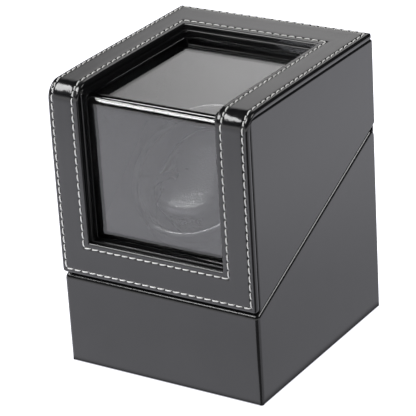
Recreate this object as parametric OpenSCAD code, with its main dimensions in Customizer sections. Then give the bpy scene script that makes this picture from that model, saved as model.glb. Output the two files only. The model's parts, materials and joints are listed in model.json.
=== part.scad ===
// Single watch winder box: a leather-covered case split on a slant, with an L-shaped window,
// and a tilted turning cup that carries a watch cushion. Front faces -Y, up is +Z.
// The origin is on the surface the box stands on, under the middle of its base.

/* [Case] */
// Width of the case
box_w = 120; // [116:1:124]
// Depth of the base
box_d = 129; // [127:1:132]
// Height from the surface to the top of the window frame
box_h = 161; // [160:1:165]
// Height of the base at its front edge
split_front = 51; // [50:0.5:53]
// Slope of the split between base and lid
split_tilt = 24.2; // [23.5:0.1:24.5]
// Thickness of the side, front and rear boards
board_t = 7; // [6.8:0.1:7.2]
// Thickness of the lid's front and top boards
lid_board_t = 4; // [3.8:0.1:4.2]
// Air between the edges of base and lid
split_gap = 0.8; // [0.6:0.1:1.2]
// Rounding of the base where the split meets its rear edge
rear_corner_r = 4; // [3:0.5:5]

/* [Window] */
// Thickness of the padded frame around the window
frame_t = 3.5; // [3:0.1:3.5]
// How far the frame stands proud of the front of the base
frame_proud = 1.1; // [0.8:0.1:1.4]
// Height of the frame's lower edge
frame_bottom = 53.3; // [53.2:0.1:54]
// Outside radius of the bend from front to top
frame_bend_r = 6; // [5.5:0.5:7]
// Width of the frame on each side of the window
frame_side = 19; // [17:0.5:21]
// Width of the frame below the window
frame_sill = 20.1; // [19:0.1:22]
// Width of the frame behind the window
frame_rear = 26.3; // [24:0.1:28]
// Thickness of the acrylic pane
pane_t = 2.5; // [2:0.1:3]

/* [Rotor] */
// Slope of the deck that the cup turns in
deck_tilt = 40; // [39:1:41]
// Where the cup's axis passes through the deck, from front to back
axis_y = -9.8; // [-11:0.1:-9]
// Outside radius of the turning cup
cup_r = 38; // [37:0.5:38]
// Height of the cup's rim over the deck
rim_h = 13.5; // [12:0.5:14]
// Teeth on the cup's gear, a multiple of four
gear_teeth = 52; // [48:4:52]
// Teeth on the motor's pinion, a multiple of four
pinion_teeth = 12; // [12:4:12]

/* [Controls] */
// Height of the middle of the rear control panel
panel_z = 34; // [33:1:36]
// Travel of the battery cover
cover_travel = 8; // [6:1:8]

/* [Hidden] */
$fn = 96;
// Reach of a cut past the solid it goes through
over = 1;

// Screws, each as head radius, head thickness, shank radius and shank length
bottom_screw = [2.8, 1, 1.4, 14];
housing_screw = [2.2, 1.6, 1.25, 5];
gearbox_screw = [2, 1.2, 1.2, 3.3];
panel_screw = [2.2, 0.9, 1.1, 7];
leaf_screw = [2, 0.7, 1.1, 6];
gear_screw = [1.9, 1.1, 1, 6.4];
screw_slack = 0.1;
screw_bite = 6;

// Colours
leather_c = "#1b1b1d";
velvet_c = "#0e0e10";
plastic_c = "#161617";
wood_c = "#b08a5b";
steel_c = "#b9bcc0";
brass_c = "#c8a24a";
board_c = "#1d5a36";

// Case planes
half_w = box_w / 2;
half_d = box_d / 2;
front_y = -half_d - frame_proud;
core_front = front_y + frame_t;
core_top = box_h - frame_t;
inner_w = half_w - board_t;
inner_d = half_d - board_t;
lid_inner_front = core_front + lid_board_t;
lid_inner_top = core_top - lid_board_t;
shell_bottom = 0.5;
felt_t = 1.5;
panel_t = 6;
floor_z = felt_t + panel_t;
function split_z(y) = split_front + (y + half_d) * tan(split_tilt);

// Window opening, trim and pane
open_x = half_w - frame_side;
open_bottom = frame_bottom + frame_sill;
open_rear = half_d - frame_rear;
core_bend_r = frame_bend_r - frame_t;
trim_depth = 2.9;
trim_t = 1;
pane_lap = 5;
pane_front = lid_inner_front;
pane_top = lid_inner_top;
pane_bend_r = 6;
retainer_t = 1.5;
retainer_edge = 5;
lining_t = 0.8;

// Deck and the boards that carry it
fit_gap = 0.3;
insert_gap = 0.6;
cheek_x = inner_w - lining_t - insert_gap;
cheek_t = 2.4;
deck_x = cheek_x - cheek_t;
deck_t = 4;
deck_front = -inner_d + fit_gap;
deck_rear = 46;
back_t = 2.5;
back_bottom = 98;
deck_ref_y = -54;
deck_ref_z = 57;
function deck_z(y) = deck_ref_z + (y - deck_ref_y) * tan(deck_tilt);
block_s = 8;
block_low = 36;
block_high = 90;

// Turning cup, in the deck's own frame: its surface is zero and the axis is +Z
cup_wall = 2;
cup_floor = -21.6;
cup_floor_t = 2.4;
cup_back = cup_floor - cup_floor_t;
lining_r = cup_r - cup_wall;
rim_w = 2.8;
rim_bead_r = 1.4;
rim_lip = 1.1;
rim_in = cup_r - cup_wall - 0.2;
cup_top = rim_h - rim_bead_r - rim_lip;
hub_r = 9;
hub_bottom = -34.4;
deck_hole_r = cup_r + 2;
shaft_r = 3;
running = 0.03;
bush_r = 5;
bush_l = 5;

// Housing that the cup turns in
housing_r = cup_r + 4.5;
housing_wall = 2;
flange_r = 48.3;
flange_t = 2.5;
flange_z = -deck_t - flange_t;
housing_floor = -38;
floor_t = 2.5;
boss_r = 8;
boss_end = -52;
housing_screw_r = 45.4;

// Gear train
gear_m = 1;
pressure = 20;
backlash = 0.2;
gear_w = 5;
pinion_room = 1.8;
pinion_short = 0.4;
pitch_gear = gear_m * gear_teeth / 2;
pitch_pinion = gear_m * pinion_teeth / 2;
centre_dist = pitch_gear + pitch_pinion;
face_gap = 0.05;
gear_top = cup_back - face_gap;
gear_addendum = 0.75;
pinion_addendum = 1;
gear_dedendum = 1.2;
pinion_dedendum = 1;
flank_steps = 4;
pinion_shaft_r = 2;
gearbox_r = 12;
gearbox_l = 10;
motor_r = 10;
motor_l = 18;

// Cushion
cushion_half = 24;
cushion_long = 29;
cushion_t = 36;
cushion_round = 9;
cushion_bottom = -20.2;
cushion_r = 34.4;

// Rear hinges
hinge_x = 34;
leaf_w = 24;
leaf_t = 1;
leaf_l = 16;
knuckle_r = 2.2;
pin_r = 1;
hinge_y = half_d + knuckle_r + 0.2;
hinge_z = split_z(half_d) + 0.1;
knuckle_gap = 0.15;
knuckles = 3;
knuckle_w = leaf_w / knuckles;
leaf_start = 2.5;
finger_start = 0.6;

// Controls and electronics
panel_w = 64;
panel_h = 30;
panel_plate_t = 1.6;
panel_margin = 3;
hole_w = 52;
hole_h = 22;
panel_back = half_d;
panel_face = half_d + panel_plate_t;
pcb_back = 53;
pcb_t = 1.6;
pcb_face = pcb_back + pcb_t;
pcb_w = 64;
pcb_h = 36;
spacer_x = 29;
spacer_z = 14.5;
spacer_r = 2.2;
spacer_pin_r = 1.05;
spacer_head_t = 0.8;
jack_x = -17;
jack_r = 4;
jack_bore_r = 2.75;
jack_pin_r = 1;
jack_proud = 0.6;
slider_x = 0;
slider_travel = 2;
slider_half = [2, 1.4];
slider_proud = 1.6;
slot_half = [slider_half[0] + slider_travel + 0.5, slider_half[1] + 0.4];
slide_body = [6.5, 3.4];
knob_x = 17;
knob_r = 6;
knob_l = 4;
knob_shaft_r = 3;
knob_mark = 1;

// Battery bay
bay_x = 28.8;
bay_y = -34.5;
bay_half = 14.9;
bay_h = 16.5;
bay_wall = 1.6;
pocket_x = 30.4;
groove_x = 32;
pocket_top = 4;
groove_low = 2.9;
cover_gap = 0.3;

// Extrudes an outline drawn in the side view, Y across and Z up, along X about x = 0
module along_x(w) {
    rotate([90, 0, 90]) linear_extrude(w, center = true) children();
}

// Places its children in the deck's frame, with the cup's axis as +Z
module at_axis() {
    translate([0, axis_y, deck_z(axis_y)]) rotate([deck_tilt, 0, 0]) children();
}

// Turns a cylinder or its like from +Z to +Y
module facing_rear() {
    rotate([-90, 0, 0]) children();
}

// Side outline of a block whose front top corner is round
module bent_block(y0, z0, y1, z1, r) {
    translate([y0 + r, z0]) square([y1 - y0 - r, z1 - z0]);
    translate([y0, z0]) square([r, z1 - z0 - r]);
    translate([y0 + r, z1 - r]) circle(r);
}

// Side outline of everything above the split, raised by lift
module above_split(lift) {
    reach = half_d + 10;
    polygon([
        [-reach, split_z(-reach) + lift],
        [reach, split_z(reach) + lift],
        [reach, box_h + over],
        [-reach, box_h + over]
    ]);
}

// Side outline of the base, with its rear top corner rounded
module base_outline() {
    r = rear_corner_r;
    cy = half_d - r;
    cz = split_z(cy) - r / cos(split_tilt);
    polygon([
        [-half_d, shell_bottom],
        [half_d, shell_bottom],
        [half_d, cz],
        [cy - r * sin(split_tilt), cz + r * cos(split_tilt)],
        [-half_d, split_front]
    ]);
    translate([cy, cz]) circle(r);
}

// Side outline of the lid's wooden core
module core_outline() {
    intersection() {
        bent_block(core_front, split_front - board_t, half_d, core_top, core_bend_r);
        above_split(split_gap);
    }
}

// A box given by its lowest and highest corners
module span_box(low, high) {
    translate(low) cube(high - low);
}

// The room that the window takes out of frame and core, widened by grow
module window_cut(grow) {
    span_box(
        [-open_x - grow, front_y - over, open_bottom - grow],
        [open_x + grow, open_rear + grow, box_h + over]
    );
}

// Small screw with its head below z = 0 and its shank above
module screw(size) {
    translate([0, 0, -size[1]]) cylinder(h = size[1], r = size[0]);
    cylinder(h = size[3], r = size[2]);
}

// Four places at the corners of a rectangle
module at_corners(x, y) {
    for (sx = [-1, 1], sy = [-1, 1]) translate([sx * x, sy * y, 0]) children();
}

// ---- Base ----

module base_shell() {
    color(leather_c) difference() {
        along_x(box_w) base_outline();
        span_box([-inner_w, -inner_d, -over], [inner_w, inner_d, box_h]);
        span_box(
            [-hole_w / 2, inner_d - over, panel_z - hole_h / 2],
            [hole_w / 2, half_d + over, panel_z + hole_h / 2]
        );
        magnet_places(0) cylinder(h = magnet_pocket + over, r = magnet_r + 0.05);
        for (side = [-1, 1]) translate([side * hinge_x, half_d, 0]) leaf_holes(-1);
        panel_screw_places() facing_rear() translate([0, 0, -screw_bite])
            cylinder(h = screw_bite + over, r = panel_screw[2] + screw_slack);
    }
}

// Magnets stand in the side walls, square to the split, just behind the front wall
magnet_r = 2.5;
magnet_t = 2;
magnet_pocket = 2.2;
magnet_y = -48;
module magnet_places(lift) {
    for (side = [-1, 1])
        translate([side * (half_w - board_t / 2), magnet_y, split_z(magnet_y) + lift])
            rotate([split_tilt, 0, 0]) translate([0, 0, -magnet_pocket]) children();
}

module base_magnets() {
    color(steel_c) magnet_places(0) cylinder(h = magnet_t, r = magnet_r);
}

module bottom_panel() {
    color(wood_c) difference() {
        span_box([-inner_w + 0.1, -inner_d + 0.1, felt_t], [inner_w - 0.1, inner_d - 0.1, floor_z]);
        bay_cut(bay_x, felt_t, floor_z, bay_y - bay_half, bay_y + bay_half);
        bay_cut(pocket_x, felt_t, groove_low, cover_front - cover_gap, cover_rear_end);
        bay_cut(groove_x, groove_low, pocket_top, cover_front - cover_gap, cover_rear_end);
        at_corners(block_x, block_y) {
            cylinder(h = felt_t + bottom_screw[1], r = bottom_screw[0] + screw_slack);
            cylinder(h = floor_z + over, r = bottom_screw[2] + screw_slack);
        }
    }
}

// One rectangular cut through the bottom panel, evened past its faces
module bay_cut(x, z0, z1, y0, y1) {
    span_box([-x, y0, z0 - (z0 <= felt_t ? over : 0)], [x, y1, z1 + (z1 >= floor_z ? over : 0)]);
}

module base_felt() {
    color(velvet_c) difference() {
        span_box([-inner_w + 0.5, -inner_d + 0.5, 0], [inner_w - 0.5, inner_d - 0.5, felt_t]);
        span_box([-pocket_x, cover_front - cover_gap, -over], [pocket_x, cover_rear_end, felt_t + over]);
    }
}

block_x = deck_x - block_s / 2;
block_y = inner_d - block_s / 2;
module bottom_screws() {
    color(steel_c) at_corners(block_x, block_y)
        translate([0, 0, felt_t + bottom_screw[1]]) screw(bottom_screw);
}

// Glue blocks in the corners, low at the front and high at the rear
module corner_blocks() {
    color(wood_c) difference() {
        for (sx = [-1, 1], end = [[-1, block_low], [1, block_high]])
            translate([sx * block_x - block_s / 2, end[0] * block_y - block_s / 2, floor_z])
                cube([block_s, block_s, end[1] - floor_z]);
        at_corners(block_x, block_y)
            cylinder(h = felt_t + bottom_screw[1] + bottom_screw[3], r = bottom_screw[2] + screw_slack);
    }
}

// Side board of the insert that carries the deck
module cheek(side) {
    color(velvet_c) translate([side * (deck_x + cheek_t / 2), 0, 0]) along_x(cheek_t)
        polygon([
            [deck_front, floor_z],
            [deck_rear + back_t, floor_z],
            [deck_rear + back_t, deck_z(deck_rear)],
            [deck_rear, deck_z(deck_rear)],
            [deck_front, deck_z(deck_front)]
        ]);
}

module cheek_left() {
    cheek(-1);
}

module cheek_right() {
    cheek(1);
}

module deck() {
    drop = deck_t / cos(deck_tilt);
    color(velvet_c) difference() {
        along_x(2 * deck_x) polygon([
            [deck_front, deck_z(deck_front)],
            [deck_front, deck_z(deck_front) - drop],
            [deck_rear, deck_z(deck_rear) - drop],
            [deck_rear, deck_z(deck_rear)]
        ]);
        at_axis() {
            cylinder(h = 4 * deck_t, r = deck_hole_r, center = true);
            housing_screw_places() translate([0, 0, flange_z])
                cylinder(h = housing_screw[3] + fit_gap, r = housing_screw[2] + screw_slack / 2);
        }
    }
}

module back_panel() {
    color(velvet_c) span_box(
        [-deck_x, deck_rear, back_bottom],
        [deck_x, deck_rear + back_t, deck_z(deck_rear)]
    );
}

// ---- Winder module ----

module housing_screw_places() {
    for (turn = [45:90:315]) rotate([0, 0, turn]) translate([housing_screw_r, 0, 0]) children();
}

module module_housing() {
    inner_r = housing_r - housing_wall;
    color(plastic_c) at_axis() difference() {
        union() {
            translate([0, 0, housing_floor]) cylinder(h = -deck_t - housing_floor, r = housing_r);
            translate([0, 0, flange_z]) cylinder(h = flange_t, r = flange_r);
            translate([0, 0, boss_end]) cylinder(h = housing_floor - boss_end + over, r = boss_r);
        }
        translate([0, 0, housing_floor + floor_t]) cylinder(h = box_h, r = inner_r);
        translate([0, 0, boss_end - over]) cylinder(h = box_h, r = bush_r);
        translate([0, -centre_dist, housing_floor - over]) cylinder(h = box_h, r = pitch_pinion + pinion_room);
        housing_screw_places() translate([0, 0, flange_z - over])
            cylinder(h = box_h, r = housing_screw[2] + screw_slack);
        gearbox_screw_places() translate([0, 0, housing_floor - over])
            cylinder(h = gearbox_bite + over, r = gearbox_screw[2] + screw_slack);
    }
}

module housing_screws() {
    color(steel_c) at_axis() housing_screw_places()
        translate([0, 0, flange_z]) screw(housing_screw);
}

// Plain bearing bush with its lower end at z
module bush(z) {
    color(brass_c) at_axis() translate([0, 0, z]) difference() {
        cylinder(h = bush_l, r = bush_r);
        translate([0, 0, -over]) cylinder(h = bush_l + 2 * over, r = shaft_r + running);
    }
}

module front_bush() {
    bush(housing_floor + floor_t - bush_l);
}

module rear_bush() {
    bush(boss_end);
}

module thrust_washer() {
    color(steel_c) at_axis() translate([0, 0, housing_floor + floor_t]) difference() {
        cylinder(h = 0.8, r = boss_r);
        translate([0, 0, -over]) cylinder(h = 3 * over, r = shaft_r + 0.2);
    }
}

// Two ears hold the gearbox to the housing floor
gearbox_screw_x = 14;
ear_r = 3;
ear_t = 2;
gearbox_bite = gearbox_screw[3] - ear_t;
nose_r = 5;
nose_l = 3;
module gearbox_screw_places() {
    for (side = [-1, 1]) translate([side * gearbox_screw_x, -centre_dist, 0]) children();
}

module gearbox() {
    top = housing_floor;
    color(plastic_c) at_axis() difference() {
        union() {
            translate([0, -centre_dist, top - gearbox_l]) cylinder(h = gearbox_l, r = gearbox_r);
            translate([0, -centre_dist, top - over]) cylinder(h = nose_l + over, r = nose_r);
            gearbox_screw_places() translate([0, 0, top - ear_t]) cylinder(h = ear_t, r = ear_r);
        }
        translate([0, -centre_dist, top - gearbox_l + ear_t])
            cylinder(h = box_h, r = pinion_shaft_r + running);
        gearbox_screw_places() {
            translate([0, 0, top - 2 * ear_t])
                cylinder(h = 3 * ear_t, r = gearbox_screw[2] + screw_slack);
            translate([0, 0, top - ear_t - gearbox_l])
                cylinder(h = gearbox_l, r = gearbox_screw[0] + screw_slack);
        }
    }
}

module gearbox_screws() {
    color(steel_c) at_axis() gearbox_screw_places()
        translate([0, 0, housing_floor - ear_t]) screw(gearbox_screw);
}

module motor_can() {
    color(steel_c) at_axis() translate([0, -centre_dist, housing_floor - gearbox_l - motor_l])
        cylinder(h = motor_l, r = motor_r);
}

terminal_x = 3.5;
terminal = [2, 0.6, 2.5];
endcap_t = 2;
motor_end = housing_floor - gearbox_l - motor_l - endcap_t;
module motor_endcap() {
    color(plastic_c) at_axis() translate([0, -centre_dist, motor_end]) {
        cylinder(h = endcap_t, r = motor_r - 1);
        for (side = [-1, 1])
            translate([side * terminal_x - terminal[0] / 2, -terminal[1] / 2, -terminal[2]]) cube(terminal);
    }
}

// ---- Controls and electronics ----

module panel_screw_places() {
    for (sx = [-1, 1], sz = [-1, 1])
        translate([
            sx * (panel_w / 2 - panel_margin), half_d, panel_z + sz * (panel_h / 2 - panel_margin)
        ]) children();
}

module at_panel(x) {
    translate([x, 0, panel_z]) children();
}

module control_panel() {
    color(plastic_c) difference() {
        span_box(
            [-panel_w / 2, panel_back, panel_z - panel_h / 2],
            [panel_w / 2, panel_face, panel_z + panel_h / 2]
        );
        at_panel(jack_x) through_panel(jack_r + 0.05);
        at_panel(knob_x) through_panel(knob_shaft_r + 0.05);
        span_box(
            [slider_x - slot_half[0], panel_back - over, panel_z - slot_half[1]],
            [slider_x + slot_half[0], panel_face + over, panel_z + slot_half[1]]
        );
        panel_screw_places() facing_rear() cylinder(h = box_h, r = panel_screw[2] + screw_slack);
    }
}

module through_panel(r) {
    translate([0, panel_back - over, 0]) facing_rear() cylinder(h = panel_plate_t + 2 * over, r = r);
}

module panel_screws() {
    color(steel_c) panel_screw_places() translate([0, panel_plate_t, 0])
        rotate([90, 0, 0]) screw(panel_screw);
}

module control_board() {
    color(board_c) difference() {
        span_box(
            [-pcb_w / 2, pcb_back, panel_z - pcb_h / 2],
            [pcb_w / 2, pcb_face, panel_z + pcb_h / 2]
        );
        spacer_places() facing_rear() cylinder(h = 3 * pcb_t, r = spacer_pin_r + 0.05, center = true);
    }
}

module spacer_places() {
    for (sx = [-1, 1], sz = [-1, 1])
        translate([sx * spacer_x, pcb_face, panel_z + sz * spacer_z]) children();
}

module board_spacers() {
    color(brass_c) spacer_places() facing_rear() {
        cylinder(h = inner_d - pcb_face, r = spacer_r);
        translate([0, 0, -pcb_t]) cylinder(h = pcb_t, r = spacer_pin_r);
        translate([0, 0, -pcb_t - spacer_head_t]) cylinder(h = spacer_head_t, r = spacer_r);
    }
}

// Controller chip, drive transistors and one capacitor on the board's inner face
module board_chips() {
    chip = [12, 2, 10];
    transistor = [3, 1.2, 3];
    color(plastic_c) {
        translate([-chip[0] / 2, pcb_back - chip[1], panel_z - chip[2] / 2]) cube(chip);
        for (x = [-20, -15, 12])
            translate([x, pcb_back - transistor[1], panel_z - chip[2]]) cube(transistor);
        translate([20, pcb_back, panel_z + 4]) rotate([90, 0, 0]) cylinder(h = 8, r = 3);
    }
}

module dc_jack() {
    jack_l = panel_face + jack_proud - pcb_face;
    color(plastic_c) at_panel(jack_x) translate([0, pcb_face, 0]) facing_rear() {
        difference() {
            cylinder(h = jack_l, r = jack_r);
            translate([0, 0, switch_back]) cylinder(h = jack_l, r = jack_bore_r);
        }
        cylinder(h = jack_l - over, r = jack_pin_r);
    }
}

// Backs of the sockets, and the air between the switches and the panel
switch_back = 2;
switch_gap = 1;
module speed_switch() {
    half = 6;
    color(plastic_c) at_panel(knob_x) difference() {
        span_box([-half, pcb_face, -half], [half, panel_back - switch_gap, half]);
        translate([0, pcb_face + switch_back, 0]) facing_rear()
            cylinder(h = box_h, r = knob_shaft_r + running);
    }
}

module direction_switch() {
    color(plastic_c) at_panel(slider_x) difference() {
        span_box(
            [-slide_body[0], pcb_face, -slide_body[1]],
            [slide_body[0], panel_back - switch_gap, slide_body[1]]
        );
        span_box([-slot_half[0], pcb_face + switch_back, -slot_half[1]], [slot_half[0], box_h, slot_half[1]]);
    }
}

module speed_knob() {
    color(plastic_c) at_panel(knob_x) {
        difference() {
            translate([0, panel_face + fit_gap, 0]) facing_rear() cylinder(h = knob_l, r = knob_r);
            span_box(
                [-knob_mark / 2, panel_face + fit_gap + knob_l - knob_mark, -over],
                [knob_mark / 2, box_h, knob_r + over]
            );
        }
        translate([0, pcb_face + switch_back + fit_gap, 0]) facing_rear()
            cylinder(h = panel_face - pcb_face - switch_back, r = knob_shaft_r);
    }
}

module direction_slider() {
    color(steel_c) at_panel(slider_x)
        span_box(
            [-slider_half[0], pcb_face + switch_back + fit_gap, -slider_half[1]],
            [slider_half[0], panel_face + slider_proud, slider_half[1]]
        );
}

// ---- Battery bay ----

cover_front = bay_y - bay_half - 2;
cover_len = 2 * bay_half + 4;
cover_rear_end = cover_front + cover_len + cover_travel + cover_gap;

module battery_box() {
    color(plastic_c) difference() {
        span_box(
            [-bay_x - bay_wall, bay_y - bay_half - bay_wall, floor_z],
            [bay_x + bay_wall, bay_y + bay_half + bay_wall, floor_z + bay_h]
        );
        span_box(
            [-bay_x, bay_y - bay_half, floor_z - over],
            [bay_x, bay_y + bay_half, floor_z + bay_h - bay_wall]
        );
    }
}

// Spring plates for two cells, one pair at each end of the bay
module battery_contacts() {
    plate = [0.5, 9, 9];
    lift = 2.5;
    color(steel_c) for (sx = [-1, 1], sy = [-1, 1])
        translate([
            sx > 0 ? bay_x - plate[0] : -bay_x,
            bay_y + sy * bay_half / 2 - plate[1] / 2,
            floor_z + lift
        ]) cube(plate);
}

module battery_cover() {
    low = felt_t - 1.1;
    ridge = 0.4;
    grip = [20, 1.2, 0.5];
    grip_pitch = 2.4;
    color(plastic_c) difference() {
        union() {
            span_box(
                [-pocket_x + cover_gap, cover_front, low],
                [pocket_x - cover_gap, cover_front + cover_len, groove_low + ridge]
            );
            span_box(
                [-groove_x + cover_gap, cover_front, groove_low + cover_gap],
                [groove_x - cover_gap, cover_front + cover_len, pocket_top - cover_gap]
            );
        }
        for (row = [2:5]) translate([-grip[0] / 2, cover_front + grip_pitch * row, low - grip[2]])
            cube([grip[0], grip[1], 2 * grip[2]]);
    }
}

// ---- Leads ----

// Flat two-core lead: a strip of width w that follows the side-view points
module ribbon(x, w, points) {
    last = len(points) - 1;
    translate([x, 0, 0]) along_x(w) polygon(concat(
        [for (p = points) p + [0, ribbon_t / 2]],
        [for (i = [last:-1:0]) points[i] - [0, ribbon_t / 2]]
    ));
}

ribbon_t = 1.4;
ribbon_w = 2.8;
module motor_leads() {
    start = from_axis([-centre_dist, motor_end - 0.4]);
    color("firebrick") ribbon(0, ribbon_w, [
        start, start + [4, -3], [24, 11], [40, 12], [pcb_back - 4, panel_z - 14], [pcb_back, panel_z - 14]
    ]);
}

// A side-view point of the deck's frame, [up the slope, along the axis], in the box's frame
function from_axis(p) = [
    axis_y + p[0] * cos(deck_tilt) - p[1] * sin(deck_tilt),
    deck_z(axis_y) + p[0] * sin(deck_tilt) + p[1] * cos(deck_tilt)
];

module battery_leads() {
    bay_rear = bay_y + bay_half + bay_wall;
    color("firebrick") ribbon(24, ribbon_w, [
        [bay_rear, floor_z + 6], [bay_rear + 4, floor_z + 2], [38, floor_z + 2],
        [pcb_back - 4, panel_z - 12], [pcb_back, panel_z - 12]
    ]);
}

// ---- Hinges ----

// Hinge leaf: up is +1 for the lid's leaf and -1 for the base's
module hinge_leaf(side, up) {
    own = [for (k = [0:knuckles - 1]) if ((up > 0) == (k % 2 == 1)) k];
    color(steel_c) translate([side * hinge_x, 0, 0]) difference() {
        union() {
            leaf_plate(-leaf_w / 2, leaf_w / 2, leaf_start, leaf_l, up);
            for (k = own) {
                x0 = -leaf_w / 2 + k * knuckle_w + knuckle_gap;
                x1 = x0 + knuckle_w - 2 * knuckle_gap;
                leaf_plate(x0, x1, finger_start, leaf_start + over, up);
                translate([(x0 + x1) / 2, hinge_y, hinge_z]) rotate([0, 90, 0])
                    cylinder(h = x1 - x0, r = knuckle_r, center = true);
            }
        }
        translate([0, hinge_y, hinge_z]) rotate([0, 90, 0])
            cylinder(h = 2 * leaf_w, r = pin_r + running, center = true);
        translate([0, half_d, 0]) leaf_holes(up);
    }
}

// Flat part of a leaf between two heights from the hinge's axis
module leaf_plate(x0, x1, near, far, up) {
    a = hinge_z + up * near;
    b = hinge_z + up * far;
    span_box([x0, half_d, min(a, b)], [x1, half_d + leaf_t, max(a, b)]);
}

// Screw holes through a leaf and into the wood behind it
leaf_hole_x = 8;
leaf_hole_z = 10;
module leaf_holes(up) {
    for (sx = [-1, 1]) translate([sx * leaf_hole_x, 0, hinge_z + up * leaf_hole_z]) facing_rear()
        translate([0, 0, -screw_bite])
            cylinder(h = screw_bite + 4 * leaf_t, r = leaf_screw[2] + screw_slack);
}

module leaf_screws(up) {
    color(steel_c) for (side = [-1, 1], sx = [-1, 1])
        translate([side * hinge_x + sx * leaf_hole_x, half_d + leaf_t, hinge_z + up * leaf_hole_z])
            rotate([90, 0, 0]) screw(leaf_screw);
}

module hinge_base_left() {
    hinge_leaf(-1, -1);
}

module hinge_base_right() {
    hinge_leaf(1, -1);
}

module hinge_lid_left() {
    hinge_leaf(-1, 1);
}

module hinge_lid_right() {
    hinge_leaf(1, 1);
}

module hinge_base_screws() {
    leaf_screws(-1);
}

module hinge_lid_screws() {
    leaf_screws(1);
}

module hinge_pins() {
    color(steel_c) for (side = [-1, 1]) translate([side * hinge_x, hinge_y, hinge_z])
        rotate([0, 90, 0]) cylinder(h = leaf_w + 1, r = pin_r, center = true);
}

// ---- Lid ----

module lid_shell() {
    color(leather_c) difference() {
        along_x(box_w) core_outline();
        span_box([-inner_w, lid_inner_front, -over], [inner_w, inner_d, lid_inner_top]);
        window_cut(0);
        magnet_places(split_gap) translate([0, 0, magnet_pocket - over])
            cylinder(h = magnet_pocket + over, r = magnet_r + 0.05);
        for (side = [-1, 1]) translate([side * hinge_x, half_d, 0]) leaf_holes(1);
    }
}

module lid_magnets() {
    color(steel_c) magnet_places(split_gap) translate([0, 0, magnet_pocket + 0.1])
        cylinder(h = magnet_t, r = magnet_r);
}

// Padded frame, bent over the front top edge of the core
module window_frame() {
    color(leather_c) difference() {
        along_x(box_w) difference() {
            bent_block(front_y, frame_bottom, half_d, box_h, frame_bend_r);
            bent_block(core_front, 0, half_d + over, core_top, core_bend_r);
        }
        window_cut(0);
    }
}

// Gloss bezel that lines the window opening behind the frame
module window_trim() {
    face = front_y + trim_depth;
    top = box_h - trim_depth;
    color(plastic_c) intersection() {
        difference() {
            along_x(box_w) difference() {
                bent_block(face, open_bottom, open_rear, top, frame_bend_r - trim_depth);
                bent_block(lid_inner_front, 0, half_d, lid_inner_top, over);
            }
            window_cut(-trim_t);
        }
        window_cut(0);
    }
}

// Outline of the acrylic pane, bent like the frame
module pane_outline(t) {
    low = open_bottom - pane_lap;
    rear = open_rear + pane_lap;
    difference() {
        bent_block(pane_front, low, rear, pane_top, pane_bend_r);
        bent_block(pane_front + t, low - over, rear + over, pane_top - t, pane_bend_r - t);
    }
}

module window_pane() {
    color("lightblue", 0.35) along_x(2 * (open_x + pane_lap)) pane_outline(pane_t);
}

// Frame glued behind the pane's edges
module pane_retainer() {
    low = open_bottom - pane_lap - retainer_edge;
    rear = open_rear + pane_lap + retainer_edge;
    depth = pane_t + retainer_t;
    half = open_x + pane_lap + retainer_edge;
    bend = pane_bend_r;
    slack = 0.1;
    color(plastic_c) difference() {
        along_x(2 * half) difference() {
            bent_block(pane_front, low, rear, pane_top, bend);
            bent_block(pane_front + depth, low - over, rear + over, pane_top - depth, bend - depth);
        }
        along_x(2 * (open_x + pane_lap + slack)) difference() {
            bent_block(
                pane_front - over, open_bottom - pane_lap - slack,
                open_rear + pane_lap + slack, pane_top + over, bend
            );
            bent_block(
                pane_front + pane_t, 0, half_d + over,
                pane_top - pane_t, bend - pane_t
            );
        }
        span_box(
            [-open_x - over, front_y, open_bottom - over],
            [open_x + over, open_rear + over, box_h]
        );
    }
}

// Thin velvet boards glued to the lid's side and rear walls
module side_lining(side) {
    color(velvet_c) translate([side * (inner_w - lining_t / 2), 0, 0]) along_x(lining_t)
        intersection() {
            translate([lid_inner_front, 0]) square([inner_d - lid_inner_front, lid_inner_top]);
            above_split(split_gap + insert_gap);
        }
}

module lining_left() {
    side_lining(-1);
}

module lining_right() {
    side_lining(1);
}

module lining_rear() {
    color(velvet_c) along_x(2 * (inner_w - lining_t)) intersection() {
        translate([inner_d - lining_t, 0]) square([lining_t, lid_inner_top]);
        above_split(split_gap + insert_gap);
    }
}

// ---- Rotor ----

module rotor_cup() {
    color(plastic_c) at_axis() difference() {
        union() {
            translate([0, 0, cup_back]) cylinder(h = cup_top - cup_back, r = cup_r);
            translate([0, 0, hub_bottom]) cylinder(h = cup_back - hub_bottom + over, r = hub_r);
        }
        translate([0, 0, cup_floor]) cylinder(h = box_h, r = lining_r);
        translate([0, 0, hub_bottom - over]) cylinder(h = cup_back - hub_bottom + over, r = shaft_r);
        gear_screw_places() translate([0, 0, cup_back - over])
            cylinder(h = gear_screw[3] - gear_w + over + screw_slack, r = gear_screw[2] + screw_slack);
    }
}

module cup_rim() {
    color(steel_c) at_axis() rotate_extrude() intersection() {
        union() {
            translate([rim_in, cup_top]) square([rim_w, rim_lip]);
            translate([rim_in + rim_w / 2, cup_top + rim_lip]) circle(rim_bead_r);
        }
        translate([0, cup_top]) square([2 * cup_r, rim_h]);
    }
}

module cup_lining() {
    color(velvet_c) at_axis() difference() {
        translate([0, 0, cup_floor]) cylinder(h = cup_top - cup_floor, r = lining_r - 0.02);
        translate([0, 0, cup_floor + 1]) cylinder(h = box_h, r = lining_r - 1);
    }
}

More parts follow.
